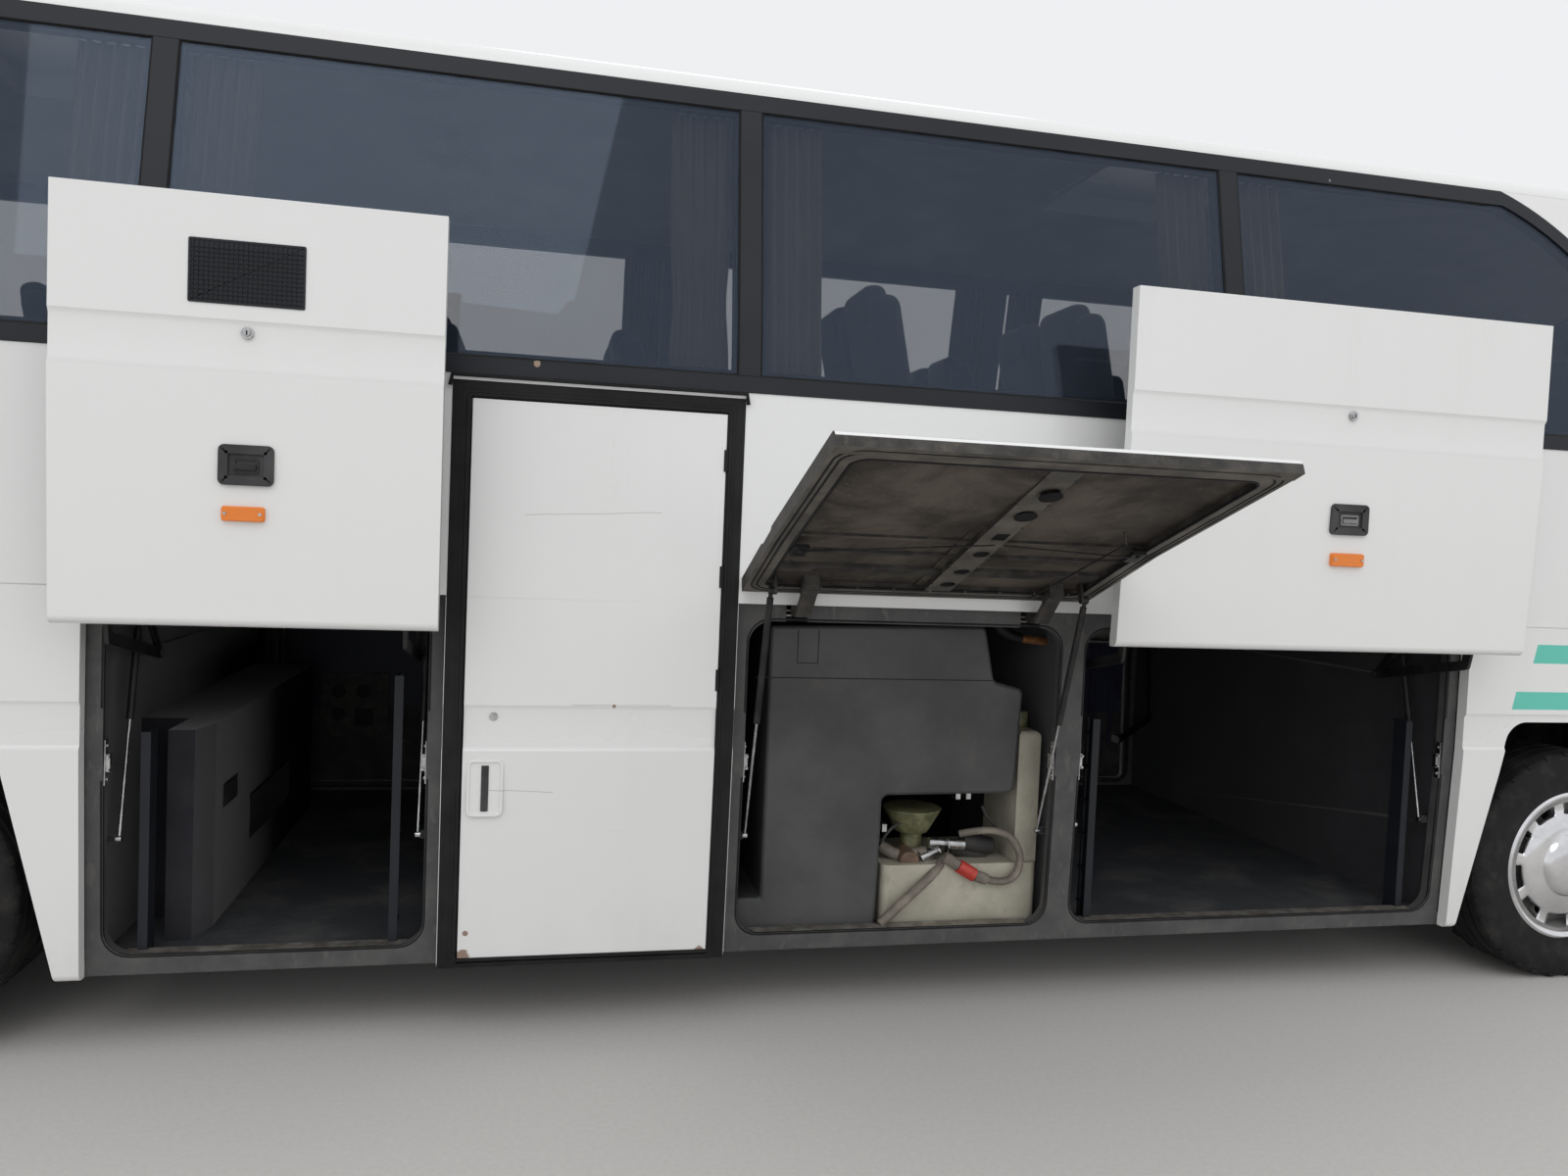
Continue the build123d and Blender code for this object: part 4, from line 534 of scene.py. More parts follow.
print("flap fittings")
flapFittings = {  # x, z, width and height
    "rear_bay": {
        "handle": (-1.63, 1.794, 0.144, 0.112),
        "grip": "black_steel",
        "marker": (-1.636, 1.659, 0.113, 0.042),
        "lock": (-1.633, 2.157),
        "mesh": (-1.635, 2.318, 0.3, 0.174),
    },
    "front_bay": {
        "handle": (1.9, 1.801, 0.148, 0.106),
        "grip": "wheel_steel",
        "marker": (1.9025, 1.662, 0.129, 0.046),
        "lock": (1.889, 2.157),
    },
}
ventMesh = {"pitch": 0.0125, "halfWire": 0.0011, "border": 0.005}
for bay, fitted in flapFittings.items():
    body = bay + "_flap"
    x, z, wide, high = fitted["handle"]
    bm = bmesh.new()
    addDish(bm, flapPoint(x, z, -0.002), wide, high, 0.016, 0.012, 0.026, 0.011)
    addFlapBlock(bm, span(x, wide / 2 - 0.022), span(z, high / 2 - 0.022), 0.0017, 0.0012)
    addPiece(bay + "HandleBezel", bm, "cab_plastic", body=body, bevel=0.0015)
    bm = bmesh.new()
    addDish(bm, flapPoint(x, z - 0.002, -0.002), wide - 0.078, high - 0.07, 0.006, 0.008, 0.006, 0.004)
    addFlapBlock(bm, span(x, wide / 2 - 0.046), span(z - 0.005, 0.007), 0.01, 0.001)
    addPiece(bay + "HandleGrip", bm, fitted["grip"], body=body, bevel=0.001)
    x, z, wide, high = fitted["marker"]
    bm, screws = bmesh.new(), bmesh.new()
    addDish(bm, flapPoint(x, z, -0.001), wide, high, 0.008, 0.01, 0.002, -0.006)
    addPiece(bay + "MarkerLens", bm, "lamp_lens", body=body, looks=["amberLens"], bevel=0.0012)
    for screwX in span(x, wide / 2 - 0.011):
        addBar(screws, flapPoint(screwX, z, 0.012), flapPoint(screwX, z, 0.0185), 0.0045, 12)
    addPiece(bay + "MarkerScrews", screws, "rod_steel", body=body)
    x, z = fitted["lock"]
    bm, keyway = bmesh.new(), bmesh.new()
    addBar(bm, flapPoint(x, z, -0.01), flapPoint(x, z, 0.001), 0.0165, 28)
    addBar(bm, flapPoint(x, z, -0.002), flapPoint(x, z, 0.006), 0.0115, 24, 0.009)
    addPiece(bay + "FlapLock", bm, "rod_steel", body=body, bevel=0.0008)
    addFlapBlock(keyway, span(x, 0.002), span(z, 0.006), 0.0067, 0.0055)
    addPiece(bay + "LockKeyway", keyway, "seal_rubber", body=body)
    if "mesh" in fitted:
        x, z, wide, high = fitted["mesh"]
        bm = bmesh.new()
        addDish(bm, flapPoint(x, z, -0.001), wide, high, 0.005, 0.004, 0.006, 0.002)
        pitch, wire = ventMesh["pitch"], ventMesh["halfWire"]
        insideX, insideZ = span(x, wide / 2 - ventMesh["border"]), span(z, high / 2 - ventMesh["border"])
        for i in range(1, int(wide / pitch)):
            addFlapBlock(bm, span(x - wide / 2 + i * pitch, wire), insideZ, 0.0045, 0.001)
        for i in range(1, int(high / pitch)):
            addFlapBlock(bm, insideX, span(z - high / 2 + i * pitch, wire), 0.0045, 0.001)
        addPiece(bay + "VentMesh", bm, "black_trim", body=body)

print("tyres and wheels")
wheel = {"hubZ": 0.465, "y": 1.055, "twinPitch": 0.312, "steps": 96}
tread = {"radii": (0.446, 0.462), "outs": (0.104, 0.125), "every": 3, "gap": 0.0012, "deep": 0.006}
tyreProfile = [  # outward place and radius, from the inner bead over the tread to the middle groove
    (-0.112, 0.2865), (-0.128, 0.3), (-0.1345, 0.335), (-0.137, 0.372), (-0.1355, 0.408), (-0.13, 0.432),
    (-0.123, 0.448), (-0.113, 0.4575), (-0.1075, 0.4595), (-0.084, 0.4625), (-0.082, 0.45), (-0.073, 0.45),
    (-0.071, 0.4635), (-0.034, 0.4648), (-0.032, 0.452), (-0.022, 0.452), (-0.02, 0.465),
]


# Turns an outline of outward places and radii once round the x axis
def spinOutline(bm, outline, steps, closed=False):
    verts = [bm.verts.new((out, 0, radius)) for out, radius in outline]
    edges = [bm.edges.new(pair) for pair in zip(verts, verts[1:] + verts[:1] * closed)]
    geom = verts + edges
    bmesh.ops.spin(bm, geom=geom, cent=(0, 0, 0), axis=(1, 0, 0), angle=math.tau, steps=steps, use_merge=True)


# From the x axis to a wheel's place on one side of the coach
def toWheel(side, x, y):
    turn = Matrix.Rotation(math.radians(90 * side), 4, "Z")
    return Matrix.Translation((x, side * y, wheel["hubZ"])) @ turn


def isBlockGap(face):
    place = face.calc_center_median()
    onShoulder = tread["outs"][0] < abs(place.x) < tread["outs"][1]
    step = int(math.atan2(place.z, place.y) / math.tau * wheel["steps"] + 500)
    radius = math.hypot(place.y, place.z)
    return onShoulder and tread["radii"][0] < radius < tread["radii"][1] and step % tread["every"] == 0


def makeTyre(name, side, x, ys, body, node):
    bm = bmesh.new()
    for y in ys:
        half = [(-out, radius) for out, radius in tyreProfile[::-1]]
        spinOutline(bm, tyreProfile + half, wheel["steps"], True)
        gaps = [face for face in bm.faces if isBlockGap(face)]
        bmesh.ops.inset_individual(bm, faces=gaps, thickness=tread["gap"], depth=-tread["deep"])
        bmesh.ops.transform(bm, matrix=toWheel(side, x, y), verts=[v for v in bm.verts if not v.tag])
        for v in bm.verts:
            v.tag = True
    bmesh.ops.remove_doubles(bm, verts=bm.verts, dist=0.00001)
    bmesh.ops.recalc_face_normals(bm, faces=bm.faces)
    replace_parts(addPiece(name, bm, "tyre_rubber", body=body, smooth=32), node)


# Polished wheel trims of the front wheels: a rolled rim, a ring of arc slots and a domed centre
trim = {"slots": 10, "slotShare": 0.68, "slotRadii": (0.214, 0.258), "steps": 120, "sheet": 0.0022}
trimProfile = [  # outward place and radius
    (0.112, 0.296), (0.12, 0.3005), (0.128, 0.3), (0.134, 0.291), (0.13, 0.279), (0.114, 0.268),
    (0.108, 0.258), (0.106, 0.214), (0.112, 0.204), (0.119, 0.196), (0.122, 0.15), (0.126, 0.128),
    (0.14, 0.118), (0.149, 0.104), (0.155, 0.06), (0.157, 0.0),
]


def isTrimSlot(face):
    place = face.calc_center_median()
    slot = math.tau / trim["slots"]
    share = (math.atan2(place.z, place.y) % slot) / slot
    return trim["slotRadii"][0] < math.hypot(place.y, place.z) < trim["slotRadii"][1] and share < trim["slotShare"]


twins = (wheel["y"], wheel["y"] - wheel["twinPitch"])
nuts = {"count": 10, "circle": 0.1675, "radius": 0.0165, "long": 0.024, "stud": 0.036}
for side, word in ((-1, "right"), (1, "left")):
    frontWheel, rearWheels, word = f"front_{word}_wheel", f"rear_{word}_wheels", word.title()
    makeTyre(f"front{word}TyreTread", side, coach["frontAxleX"], twins[:1], frontWheel, frontWheel[:-5] + "tyre")
    makeTyre(f"rear{word}TyreTread", side, rearX, twins, rearWheels, rearWheels[:-6] + "tyres")
    bm = bmesh.new()
    spinOutline(bm, trimProfile, trim["steps"])
    bmesh.ops.remove_doubles(bm, verts=bm.verts, dist=0.00005)
    bmesh.ops.delete(bm, geom=[face for face in bm.faces if isTrimSlot(face)], context="FACES")
    bmesh.ops.transform(bm, matrix=toWheel(side, coach["frontAxleX"], wheel["y"]), verts=bm.verts)
    bmesh.ops.recalc_face_normals(bm, faces=bm.faces)
    piece = addPiece(f"front{word}WheelTrim", bm, "chrome_trim", body=frontWheel, smooth=40)
    thick = piece.modifiers.new("sheet", "SOLIDIFY")
    thick.thickness, thick.offset = trim["sheet"], -1
    for end, body, x, disc in (
        ("front", frontWheel, coach["frontAxleX"], 0.06), ("rear", rearWheels, rearX, -0.142),
    ):
        bm = bmesh.new()
        y = side * (wheel["y"] + disc - 0.002)
        for i in range(nuts["count"]):
            a = math.tau * i / nuts["count"]
            nutX, nutZ = x + nuts["circle"] * math.cos(a), wheel["hubZ"] + nuts["circle"] * math.sin(a)
            addBar(bm, (nutX, y, nutZ), (nutX, y + side * nuts["long"], nutZ), nuts["radius"], 6)
            addBar(bm, (nutX, y, nutZ), (nutX, y + side * nuts["stud"], nutZ), nuts["radius"] * 0.6, 12)
        addPiece(f"{end}{word}WheelNuts", bm, "rod_steel", body=body, smooth=30, bevel=0.001)

print("body panels and linings")
lookEdge = {  # places in the coach's frame where the looks of the CAD shapes change
    "paneRecess": (2.1, 3.13, 0.004), "ceiling": 3.0, "doorRubber": (-0.2515, -0.2485), "doorSeam": (1.41, 1.455),
    "engineRubber": 1.4945, "farPanes": 1.1, "rearAmber": 1.06, "mirrorGlass": 2.5,
}


# Lining on the inside of a wall, and black rubber in the recesses round the panes
def chooseOnWall(place, normal, side):
    if normal.y * side < -0.5:
        return 1
    low, high, deep = lookEdge["paneRecess"]
    sunk = coach["halfWidth"] - leanIn(place.z) - abs(place.y)
    return 2 if low < place.z < high and sunk > deep else 0


def chooseOnMask(place, normal, end):
    overhead = normal.z < -0.5 and place.z > lookEdge["ceiling"]
    return normal.x * end < -0.3 or normal.y * place.y < -0.3 * abs(place.y) or overhead


# The wall's seam groove at z 1.43 stops at the door, whose skin is one sheet there
def fillDoorSeam(bm):
    for v in bm.verts:
        place = v.co - coachMiddle
        low, high = lookEdge["doorSeam"]
        if low < place.z < high and 1.235 < -place.y < coach["halfWidth"]:
            v.co.y = coachMiddle.y - coach["halfWidth"]


def chooseOnDoor(place, normal):
    start, edge = lookEdge["doorRubber"]
    return place.x > edge or place.x > start and abs(normal.z) > 0.9


def chooseOnLamps(place, normal):
    return 0 if place.x > 0 else 2 if place.z > lookEdge["rearAmber"] else 1


for node, bevel in (
    ("rear_roof_hatch", 0.003), ("front_roof_hatch", 0.003), ("roof_unit", 0.003),
    ("window_trim", 0.001), ("door_surround", 0.001), ("front_door", 0.0015),
):
    softenNode(node, bevel)
for side, word, far in ((-1, "right", ""), (1, "left", "far_")):
    others = ["wallLining", "seal_rubber"]
    softenNode(word + "_wall", others=others, choose=lambda p, n: chooseOnWall(p, n, side))
    for bay in ("rear", "front"):
        softenNode(f"{far}{bay}_bay_flap", others=["flapInside"], choose=lambda p, n: n.y * side < -0.3)
for end, node in ((1, "front_mask"), (-1, "rear_mask")):
    softenNode(node, others=["wallLining"], choose=lambda p, n: chooseOnMask(p, n, end))
softenNode("mid_door", others=["seal_rubber"], choose=chooseOnDoor, mend=fillDoorSeam)
softenNode("lamps", 0.004, others=["redLamp", "amberLens"], choose=chooseOnLamps)
for node, bevel, other, choose in (
    ("roof", 0.0015, "roofLining", lambda p, n: n.z < -0.3 and p.z > lookEdge["ceiling"]),
    ("engine_door", 0.0015, "seal_rubber", lambda p, n: p.z > lookEdge["engineRubber"]),
    # The far panes take the brighter teal glass, painted daylight seen through the coach
    ("glazing", 0.0, "farGlass", lambda p, n: p.y > lookEdge["farPanes"] and n.y < -0.5),
    ("mirrors", 0.006, "mirrorGlass", lambda p, n: n.x < -0.9 and p.z < lookEdge["mirrorGlass"]),
):
    softenNode(node, bevel, others=[other], choose=choose)

print("service flap")
# It stands turned about its hinge line; its details are placed as if it were closed
service = {
    "hingeY": -1.224, "hingeZ": 1.475, "turn": math.radians(111),
    "x0": -0.177, "x1": 1.05, "low": 0.24, "high": 1.421,
    "seals": ((0.016, 0.0415, 0.0055), (0.032, 0.0415, 0.0055), (0.066, 0.044, 0.0045)),  # inset, depth, radius
    "rods": (((0.47, 0.86), (-0.085, 0.985)), ((0.5, 0.86), (0.958, 0.925)), ((0.8, 0.7), (0.86, 0.8)),
             ((0.86, 0.8), (0.8, 1.36))),
    "locks": ((-0.085, 0.99), (0.958, 0.925)),
    "channel": (0.385, 0.53),
    "holes": (0.506, 0.664, 0.988, 1.153, 1.28),
}
hingePoint = Vector((0, service["hingeY"], service["hingeZ"]))
turnUp = Matrix.Rotation(-service["turn"], 4, "X")
toRaised = Matrix.Translation(hingePoint) @ turnUp @ Matrix.Translation(-hingePoint)
toClosed = toRaised.inverted()


# 0 paint outside, 1 lining, 2 rim, 3 the channel down the middle
def chooseOnService(point, normal):
    place, facing = toClosed @ point, toClosed.to_3x3() @ normal
    deep = sideAt(place.z) + place.y
    if place.z > service["high"] + 0.002 or deep > 0.047:
        return 2
    if facing.y > 0.3:
        onChannel = service["channel"][0] < place.x < service["channel"][1] and 0.028 < deep < 0.05
        return 3 if onChannel else (1 if deep < 0.03 else 2)
    return 2 if deep > 0.018 else 0


def addRaised(name, bm, slotName, **options):
    bmesh.ops.transform(bm, matrix=toRaised, verts=bm.verts)
    addPiece(name, bm, slotName, body="service_flap", **options)


# A bead along a rounded rectangle on the kerb side, following the side's tuck
def addBead(bm, xs, zs, corner, depth, radius):
    centre = (sum(xs) / 2, 0, sum(zs) / 2)
    ring = roundedCorners(centre, xs[1] - xs[0], zs[1] - zs[0], corner, 6)
    points = []
    for here, following in zip(ring, ring[1:] + ring[:1]):
        count = max(1, round((following - here).length / 0.25))
        points += [here.lerp(following, i / count) for i in range(count)]
    for point in points:
        point.y = -(sideAt(point.z) - leanIn(point.z) - depth)
    addPipe(bm, points, radius, 8, False, True)


softenNode("service_flap", others=["flapLining", "rimSteel", "channelSteel"], choose=chooseOnService)
bm, locks, screws, holes = (bmesh.new() for _ in range(4))
for inset, depth, radius in service["seals"]:
    zs = (service["low"] + inset + 0.004, service["high"] - inset - 0.004)
    addBead(bm, (service["x0"] + inset, service["x1"] - inset), zs, 0.075 - inset * 0.5, depth, radius)
addRaised("serviceFlapSeals", bm, "seal_rubber", smooth=60)
for rod in service["rods"]:
    addBar(locks, *[(x, -(sideAt(z) - 0.06), z) for x, z in rod], 0.0028, 8)
for x, z in service["locks"]:
    y = -(sideAt(z) - 0.048)
    addBlock(locks, (x - 0.022, y, z - 0.035), (x + 0.022, y + 0.014, z + 0.035))
    addBar(locks, (x, y + 0.01, z - 0.02), (x, y + 0.021, z - 0.02), 0.008, 10)
addRaised("serviceFlapLocks", locks, "black_steel", bevel=0.001)
for i in range(9):
    x = service["x0"] + 0.12 + i * 0.125
    addBar(screws, (x, -1.206, 1.345), (x, -1.199, 1.345), 0.0065, 6)
for x in (0.425, 0.515):
    for z in (0.42 + i * 0.17 for i in range(6)):
        addBar(screws, (x, -1.206, z), (x, -1.2015, z), 0.005, 10)
addRaised("serviceFlapScrews", screws, "rod_steel")
for z in service["holes"]:
    y = -(sideAt(z) - 0.04)
    addBar(holes, (0.482, y, z), (0.482, y + 0.0012, z), 0.033, 32)
addBlock(holes, (0.4535, -1.208, 0.8065), (0.5105, -1.2065, 0.8715))
addRaised("channelHoles", holes, "seal_rubber")

print("bay frames")
bays = {"rear": (-2.131, -1.107, 1.376), "service": (-0.18, 1.053, 1.379), "front": (1.053, 2.687, 1.376)}
opening = {
    "inset": 0.048, "low": 0.3, "corner": 0.08, "catch": (-1.192, -1.166), "catchZs": (0.828, 0.966),
    "beads": ((0.018, 0.0042), (0.034, 0.0035)),  # how far outside the opening, radius
}
bm, strips, catches, sills = (bmesh.new() for _ in range(4))
for x0, x1, high in bays.values():
    x0, x1 = x0 + opening["inset"], x1 - opening["inset"]
    addBead(bm, (x0 - 0.004, x1 + 0.004), (opening["low"] - 0.004, high + 0.004), opening["corner"], 0.0555, 0.0065)
    for grow, radius in opening["beads"]:
        zs = (opening["low"] - grow, high + grow)
        addBead(strips, (x0 - grow, x1 + grow), zs, opening["corner"], 0.0545, radius)
    addBlock(sills, (x0 + 0.052, -1.166, opening["low"] - 0.01), (x1 - 0.052, -1.11, opening["low"] + 0.0015))
    near, far = opening["catch"]
    for x, way in ((x0, 1), (x1, -1)):
        addBlock(catches, (x, near, opening["catchZs"][0]), (x + way * 0.005, far, opening["catchZs"][1]))
        addBlock(catches, (x, near + 0.006, 0.868), (x + way * 0.016, far - 0.004, 0.922))
        for z in (0.845, 0.948):
            addBar(catches, (x, -1.179, z), (x + way * 0.01, -1.179, z), 0.006, 10)
        for z in (0.875, 0.915):
            addBar(catches, (x + way * 0.012, near - 0.004, z), (x + way * 0.012, far, z), 0.005, 10)
addPiece("bayEdgeSeals", bm, "seal_rubber", smooth=60)
addPiece("bayFrameBeads", strips, "grey_frame", looks=["wornSill"], smooth=60)
addPiece("bayCatches", catches, "rod_steel", bevel=0.0008)
addPiece("baySills", sills, "grey_frame", looks=["wornSill"], bevel=0.001)


# A piece of plain blocks, each given by two corners
def addBlockPiece(name, blocks, slotName, **options):
    bm = bmesh.new()
    for low, high in blocks:
        addBlock(bm, low, high)
    addPiece(name, bm, slotName, **options)


print("bay interiors")
linings = {  # x from and to, and the places of its ribs
    "front": (1.125, 2.615, [1.17 + i * 0.125 for i in range(12)]),
    "rear": (-2.055, -1.185, []),
}
for bay, (x0, x1, ribXs) in linings.items():
    blocks = [((x0, 1.2195, 0.345), (x1, 1.2245, 1.355))]
    for x in ribXs:
        blocks.append(((x - 0.012, 1.211, 0.345), (x + 0.012, 1.2205, 1.355)))
        blocks.append(((x + 0.02, 1.215, 0.345), (x + 0.028, 1.2205, 1.355)))
    name, body = f"far{bay.title()}FlapLining", f"far_{bay}_bay_flap"
    addBlockPiece(name, blocks, "bay_carpet", body=body, looks=["navyWall"], bevel=0.001)
panel = [((-1.885, 1.213, 0.35), (-1.555, 1.22, 0.875))]
addBlockPiece("farFlapPanel", panel, "grey_frame", body="far_rear_bay_flap", looks=["rimSteel"], bevel=0.002)
bm = bmesh.new()
for x, z in ((-1.8, 0.78), (-1.68, 0.78), (-1.8, 0.66)):
    addBar(bm, (x, 1.2135, z), (x, 1.2115, z), 0.035, 28)
addBlock(bm, (-1.72, 1.2115, 0.6), (-1.63, 1.2135, 0.69))
addPiece("farFlapPanelHoles", bm, "seal_rubber", body="far_rear_bay_flap")
vents = {"slatPitch": 0.018, "slatHalf": 0.003, "openings": ((-0.4, 0.3, 0.45, 0.62), (-0.78, -0.6, 0.66, 0.74))}
slats = []
for y0, y1, z0, z1 in vents["openings"]:
    slats.append(((-1.851, y0, z0), (-1.8475, y1, z1)))
    for i in range(1, int((y1 - y0) / vents["slatPitch"])):
        near, far = span(y0 + i * vents["slatPitch"], vents["slatHalf"])
        slats.append(((-1.848, near, z0 + 0.008), (-1.8445, far, z1 - 0.008)))
addBlockPiece("sideBoxVents", slats, "black_steel")
beams = [
    ((1.077, -0.66, 1.285), (2.663, -0.58, 1.432)),
    ((1.077, -0.7, 1.285), (2.663, -0.575, 1.295)),
    ((-1.83, -0.66, 1.33), (-1.133, -0.58, 1.432)),
]
addBlockPiece("ceilingBeams", beams, "black_steel", looks=["flapInside"], bevel=0.003)
addBlockPiece("ceilingBox", [((-1.8, -0.4, 1.345), (-1.45, -0.15, 1.433))], "tank_plastic", bevel=0.008)

print("service bay")
serviceFittings = (  # name, finish, radius, routes; a route of two points is a straight bar
    ("wasteCap", "brownCap", 0.036, ((0.521, -0.98, 0.51), (0.521, -1.062, 0.505))),
    ("wasteElbow", "hoseGrey", 0.022,
     ((0.43, -0.99, 0.545), (0.47, -1.01, 0.52), (0.521, -1.01, 0.51), (0.6, -1.01, 0.525))),
    ("wasteValve", "rod_steel", 0.02,
     ((0.575, -1.02, 0.505), (0.65, -1.02, 0.535)), ((0.6, -1.03, 0.565), (0.74, -1.03, 0.555))),
    ("pumpBody", "flapInside", 0.032,
     ((0.7, -0.98, 0.53), (0.84, -0.98, 0.5)), ((0.74, -1.0, 0.56), (0.86, -1.0, 0.54))),
    ("couplingEnds", "hoseGrey", 0.021,
     ((0.64, -1.095, 0.53), (0.692, -1.105, 0.499)), ((0.752, -1.112, 0.464), (0.8, -1.112, 0.448))),
    ("couplingRing", "couplingRed", 0.025, ((0.692, -1.105, 0.499), (0.752, -1.112, 0.464))),
    ("drainPipe", "hoseGrey", 0.017,
     ((0.4, -1.122, 0.3), (0.48, -1.12, 0.375), (0.6, -1.105, 0.47), (0.655, -1.06, 0.512))),
    ("rinseHose", "hoseGrey", 0.0135,
     ((0.79, -1.112, 0.451), (0.86, -1.112, 0.43), (0.925, -1.11, 0.462), (0.935, -1.105, 0.54),
      (0.89, -1.09, 0.61), (0.8, -1.06, 0.62), (0.72, -1.03, 0.595))),
    ("bowlPipe", "flapInside", 0.006,
     ((0.43, -0.99, 0.545), (0.44, -1.0, 0.6), (0.5, -1.0, 0.635)),
     ((0.8, -1.04, 0.7), (0.83, -1.04, 0.64), (0.9, -1.04, 0.585))),
    ("heaterElbow", "seal_rubber", 0.022, ((0.82, -1.02, 1.39), (0.845, -1.02, 1.335), (0.93, -1.02, 1.322))),
    ("heaterHose", "copperHose", 0.0155, ((0.93, -1.02, 1.322), (0.98, -1.02, 1.316), (1.035, -1.0, 1.312))),
)
clamps = {
    "onPipes": (
        ((0.575, -1.03, 0.505), (0.58, -1.03, 0.508)), ((0.64, -1.03, 0.531), (0.645, -1.03, 0.534)),
        ((0.665, -1.04, 0.56), (0.672, -1.04, 0.56)),
    ),
    "onWall": ((0.405, 0.62), (0.72, 0.735), (0.68, 0.735)),
}
for node, bevel in (("wc_housing", 0.012), ("wc_tank", 0.014), ("wc_fittings", 0.004)):
    softenNode(node, bevel, 40)
bm = bmesh.new()
addBlock(bm, (-0.085, -1.1012, 1.1715), (0.79, -1.0995, 1.1745))
drawer = ((0.062, 1.34), (0.062, 1.225), (0.136, 1.225), (0.136, 1.34))
addPipe(bm, [(x, -1.1, z) for x, z in drawer], 0.0016, 6, False)
addPiece("housingSeams", bm, "seal_rubber")
for name, look, radius, *routes in serviceFittings:
    bm = bmesh.new()
    for route in routes:
        if len(route) == 2:
            addBar(bm, *route, radius, 24)
        else:
            addPipe(bm, route, radius)
    addPiece(name, bm, "fitting_plastic", looks=[look], smooth=40, bevel=0.002)
bm = bmesh.new()
for start, end in clamps["onPipes"]:
    addBar(bm, start, end, 0.03, 20)
for x, z in clamps["onWall"]:
    addBlock(bm, (x, -1.08, z), (x + 0.018, -1.02, z + 0.028))
addPiece("fittingClamps", bm, "rod_steel", bevel=0.001)

print("mid door")
door = {
    "x0": -1.043, "x1": -0.241, "low": 0.26, "high": 2.05, "seals": ((0.012, 0.0075), (0.03, 0.0045)),
    "gutter": ((-1.112, -1.258, 2.085), (-1.106, -1.262, 2.118), (-0.181, -1.262, 2.118), (-0.175, -1.258, 2.085)),
}
bm = bmesh.new()
for grow, radius in door["seals"]:
    zs = (door["low"] + 0.005, door["high"] + grow)
    addBead(bm, (door["x0"] - grow, door["x1"] + grow), zs, 0.012, 0.001, radius)
addPipe(bm, door["gutter"], 0.0065, 8, False)
addPiece("doorSeals", bm, "seal_rubber", smooth=50)
bm = bmesh.new()
addDish(bm, (-0.972, -1.248, 0.826), 0.112, 0.182, 0.02, 0.005, 0.009, 0.02)
addPiece("doorHandleDish", bm, "white_paint", body="mid_door", bevel=0.0015)
bm = bmesh.new()
addBlock(bm, (-0.984, -1.252, 0.752), (-0.961, -1.24, 0.898))
addBar(bm, (-0.9725, -1.236, 0.76), (-0.9725, -1.252, 0.76), 0.009, 14)
addPiece("doorHandle", bm, "cab_plastic", body="mid_door", bevel=0.0015)
bm = bmesh.new()
addBar(bm, (-0.952, -1.238, 1.054), (-0.952, -1.2455, 1.054), 0.0135, 28)
addBar(bm, (-0.952, -1.244, 1.054), (-0.952, -1.2475, 1.054), 0.0085, 20)
addPiece("doorLock", bm, "rod_steel", body="mid_door", bevel=0.0006)

print("window seals")
glassEdge = {"low": 2.18, "high": 3.09, "rear": -5.542, "fronts": (3.1, 2.78), "half": 0.036, "seal": 0.0055}
pillars = (-3.784, -1.979, -0.174, 1.631)


def sealPoint(side, x, z):
    return (x, side * (coach["halfWidth"] - leanIn(z) - 0.0005), z)


bm = bmesh.new()
heights = [glassEdge["low"] + (glassEdge["high"] - glassEdge["low"]) * i / 8 for i in range(9)]
for side in (-1, 1):
    for x in [edge for pillar in pillars for edge in span(pillar, glassEdge["half"])] + [glassEdge["rear"]]:
        addPipe(bm, [sealPoint(side, x, z) for z in heights], glassEdge["seal"], 6, False)
    for z, front in zip((glassEdge["low"], glassEdge["high"]), glassEdge["fronts"]):
        addPipe(bm, [sealPoint(side, x, z) for x in (glassEdge["rear"], front)], glassEdge["seal"], 6, False)
addPiece("glassSeals", bm, "seal_rubber", smooth=60)

print("seats")
seat = {
    "firstX": -5.15, "pitch": 0.8, "rows": 12, "floor": 1.475, "stairs": (5, 6), "wide": 0.4,
    "ys": (0.445, 0.855),
    "cushions": (  # place forward and up, deep, share of the width, high, rounding, lean
        (0.2, 0.385, 0.46, 1.0, 0.13, 0.045, 0.0),
        (-0.045, 0.74, 0.115, 1.0, 0.66, 0.05, -0.2),
        (-0.125, 1.03, 0.1, 0.72, 0.15, 0.042, -0.2),
    ),
    "frames": (  # x from and to, y and half width, z from and to
        (0.03, 0.38, 0.65, 0.36, 0.28, 0.325), (0.08, 0.3, 0.4, 0.02, 0.0, 0.29),
        (0.08, 0.3, 0.9, 0.02, 0.0, 0.29), (-0.02, 0.3, 0.235, 0.02, 0.57, 0.61),
    ),
}


# One soft block, rounded on every edge, leaned about its middle
def addCushion(bm, place, size, rounding, leaning):
    made = bmesh.ops.create_cube(bm, size=1)["verts"]
    bmesh.ops.scale(bm, vec=size, verts=made)
    edges = list({edge for v in made for edge in v.link_edges})
    options = {"offset_type": "OFFSET", "segments": 4, "profile": 0.5, "affect": "EDGES", "material": -1}
    grown = bmesh.ops.bevel(bm, geom=edges, offset=rounding, **options)
    verts = list({v for face in grown["faces"] for v in face.verts})
    bmesh.ops.transform(bm, matrix=Matrix.Translation(place) @ Matrix.Rotation(leaning, 4, "Y"), verts=verts)


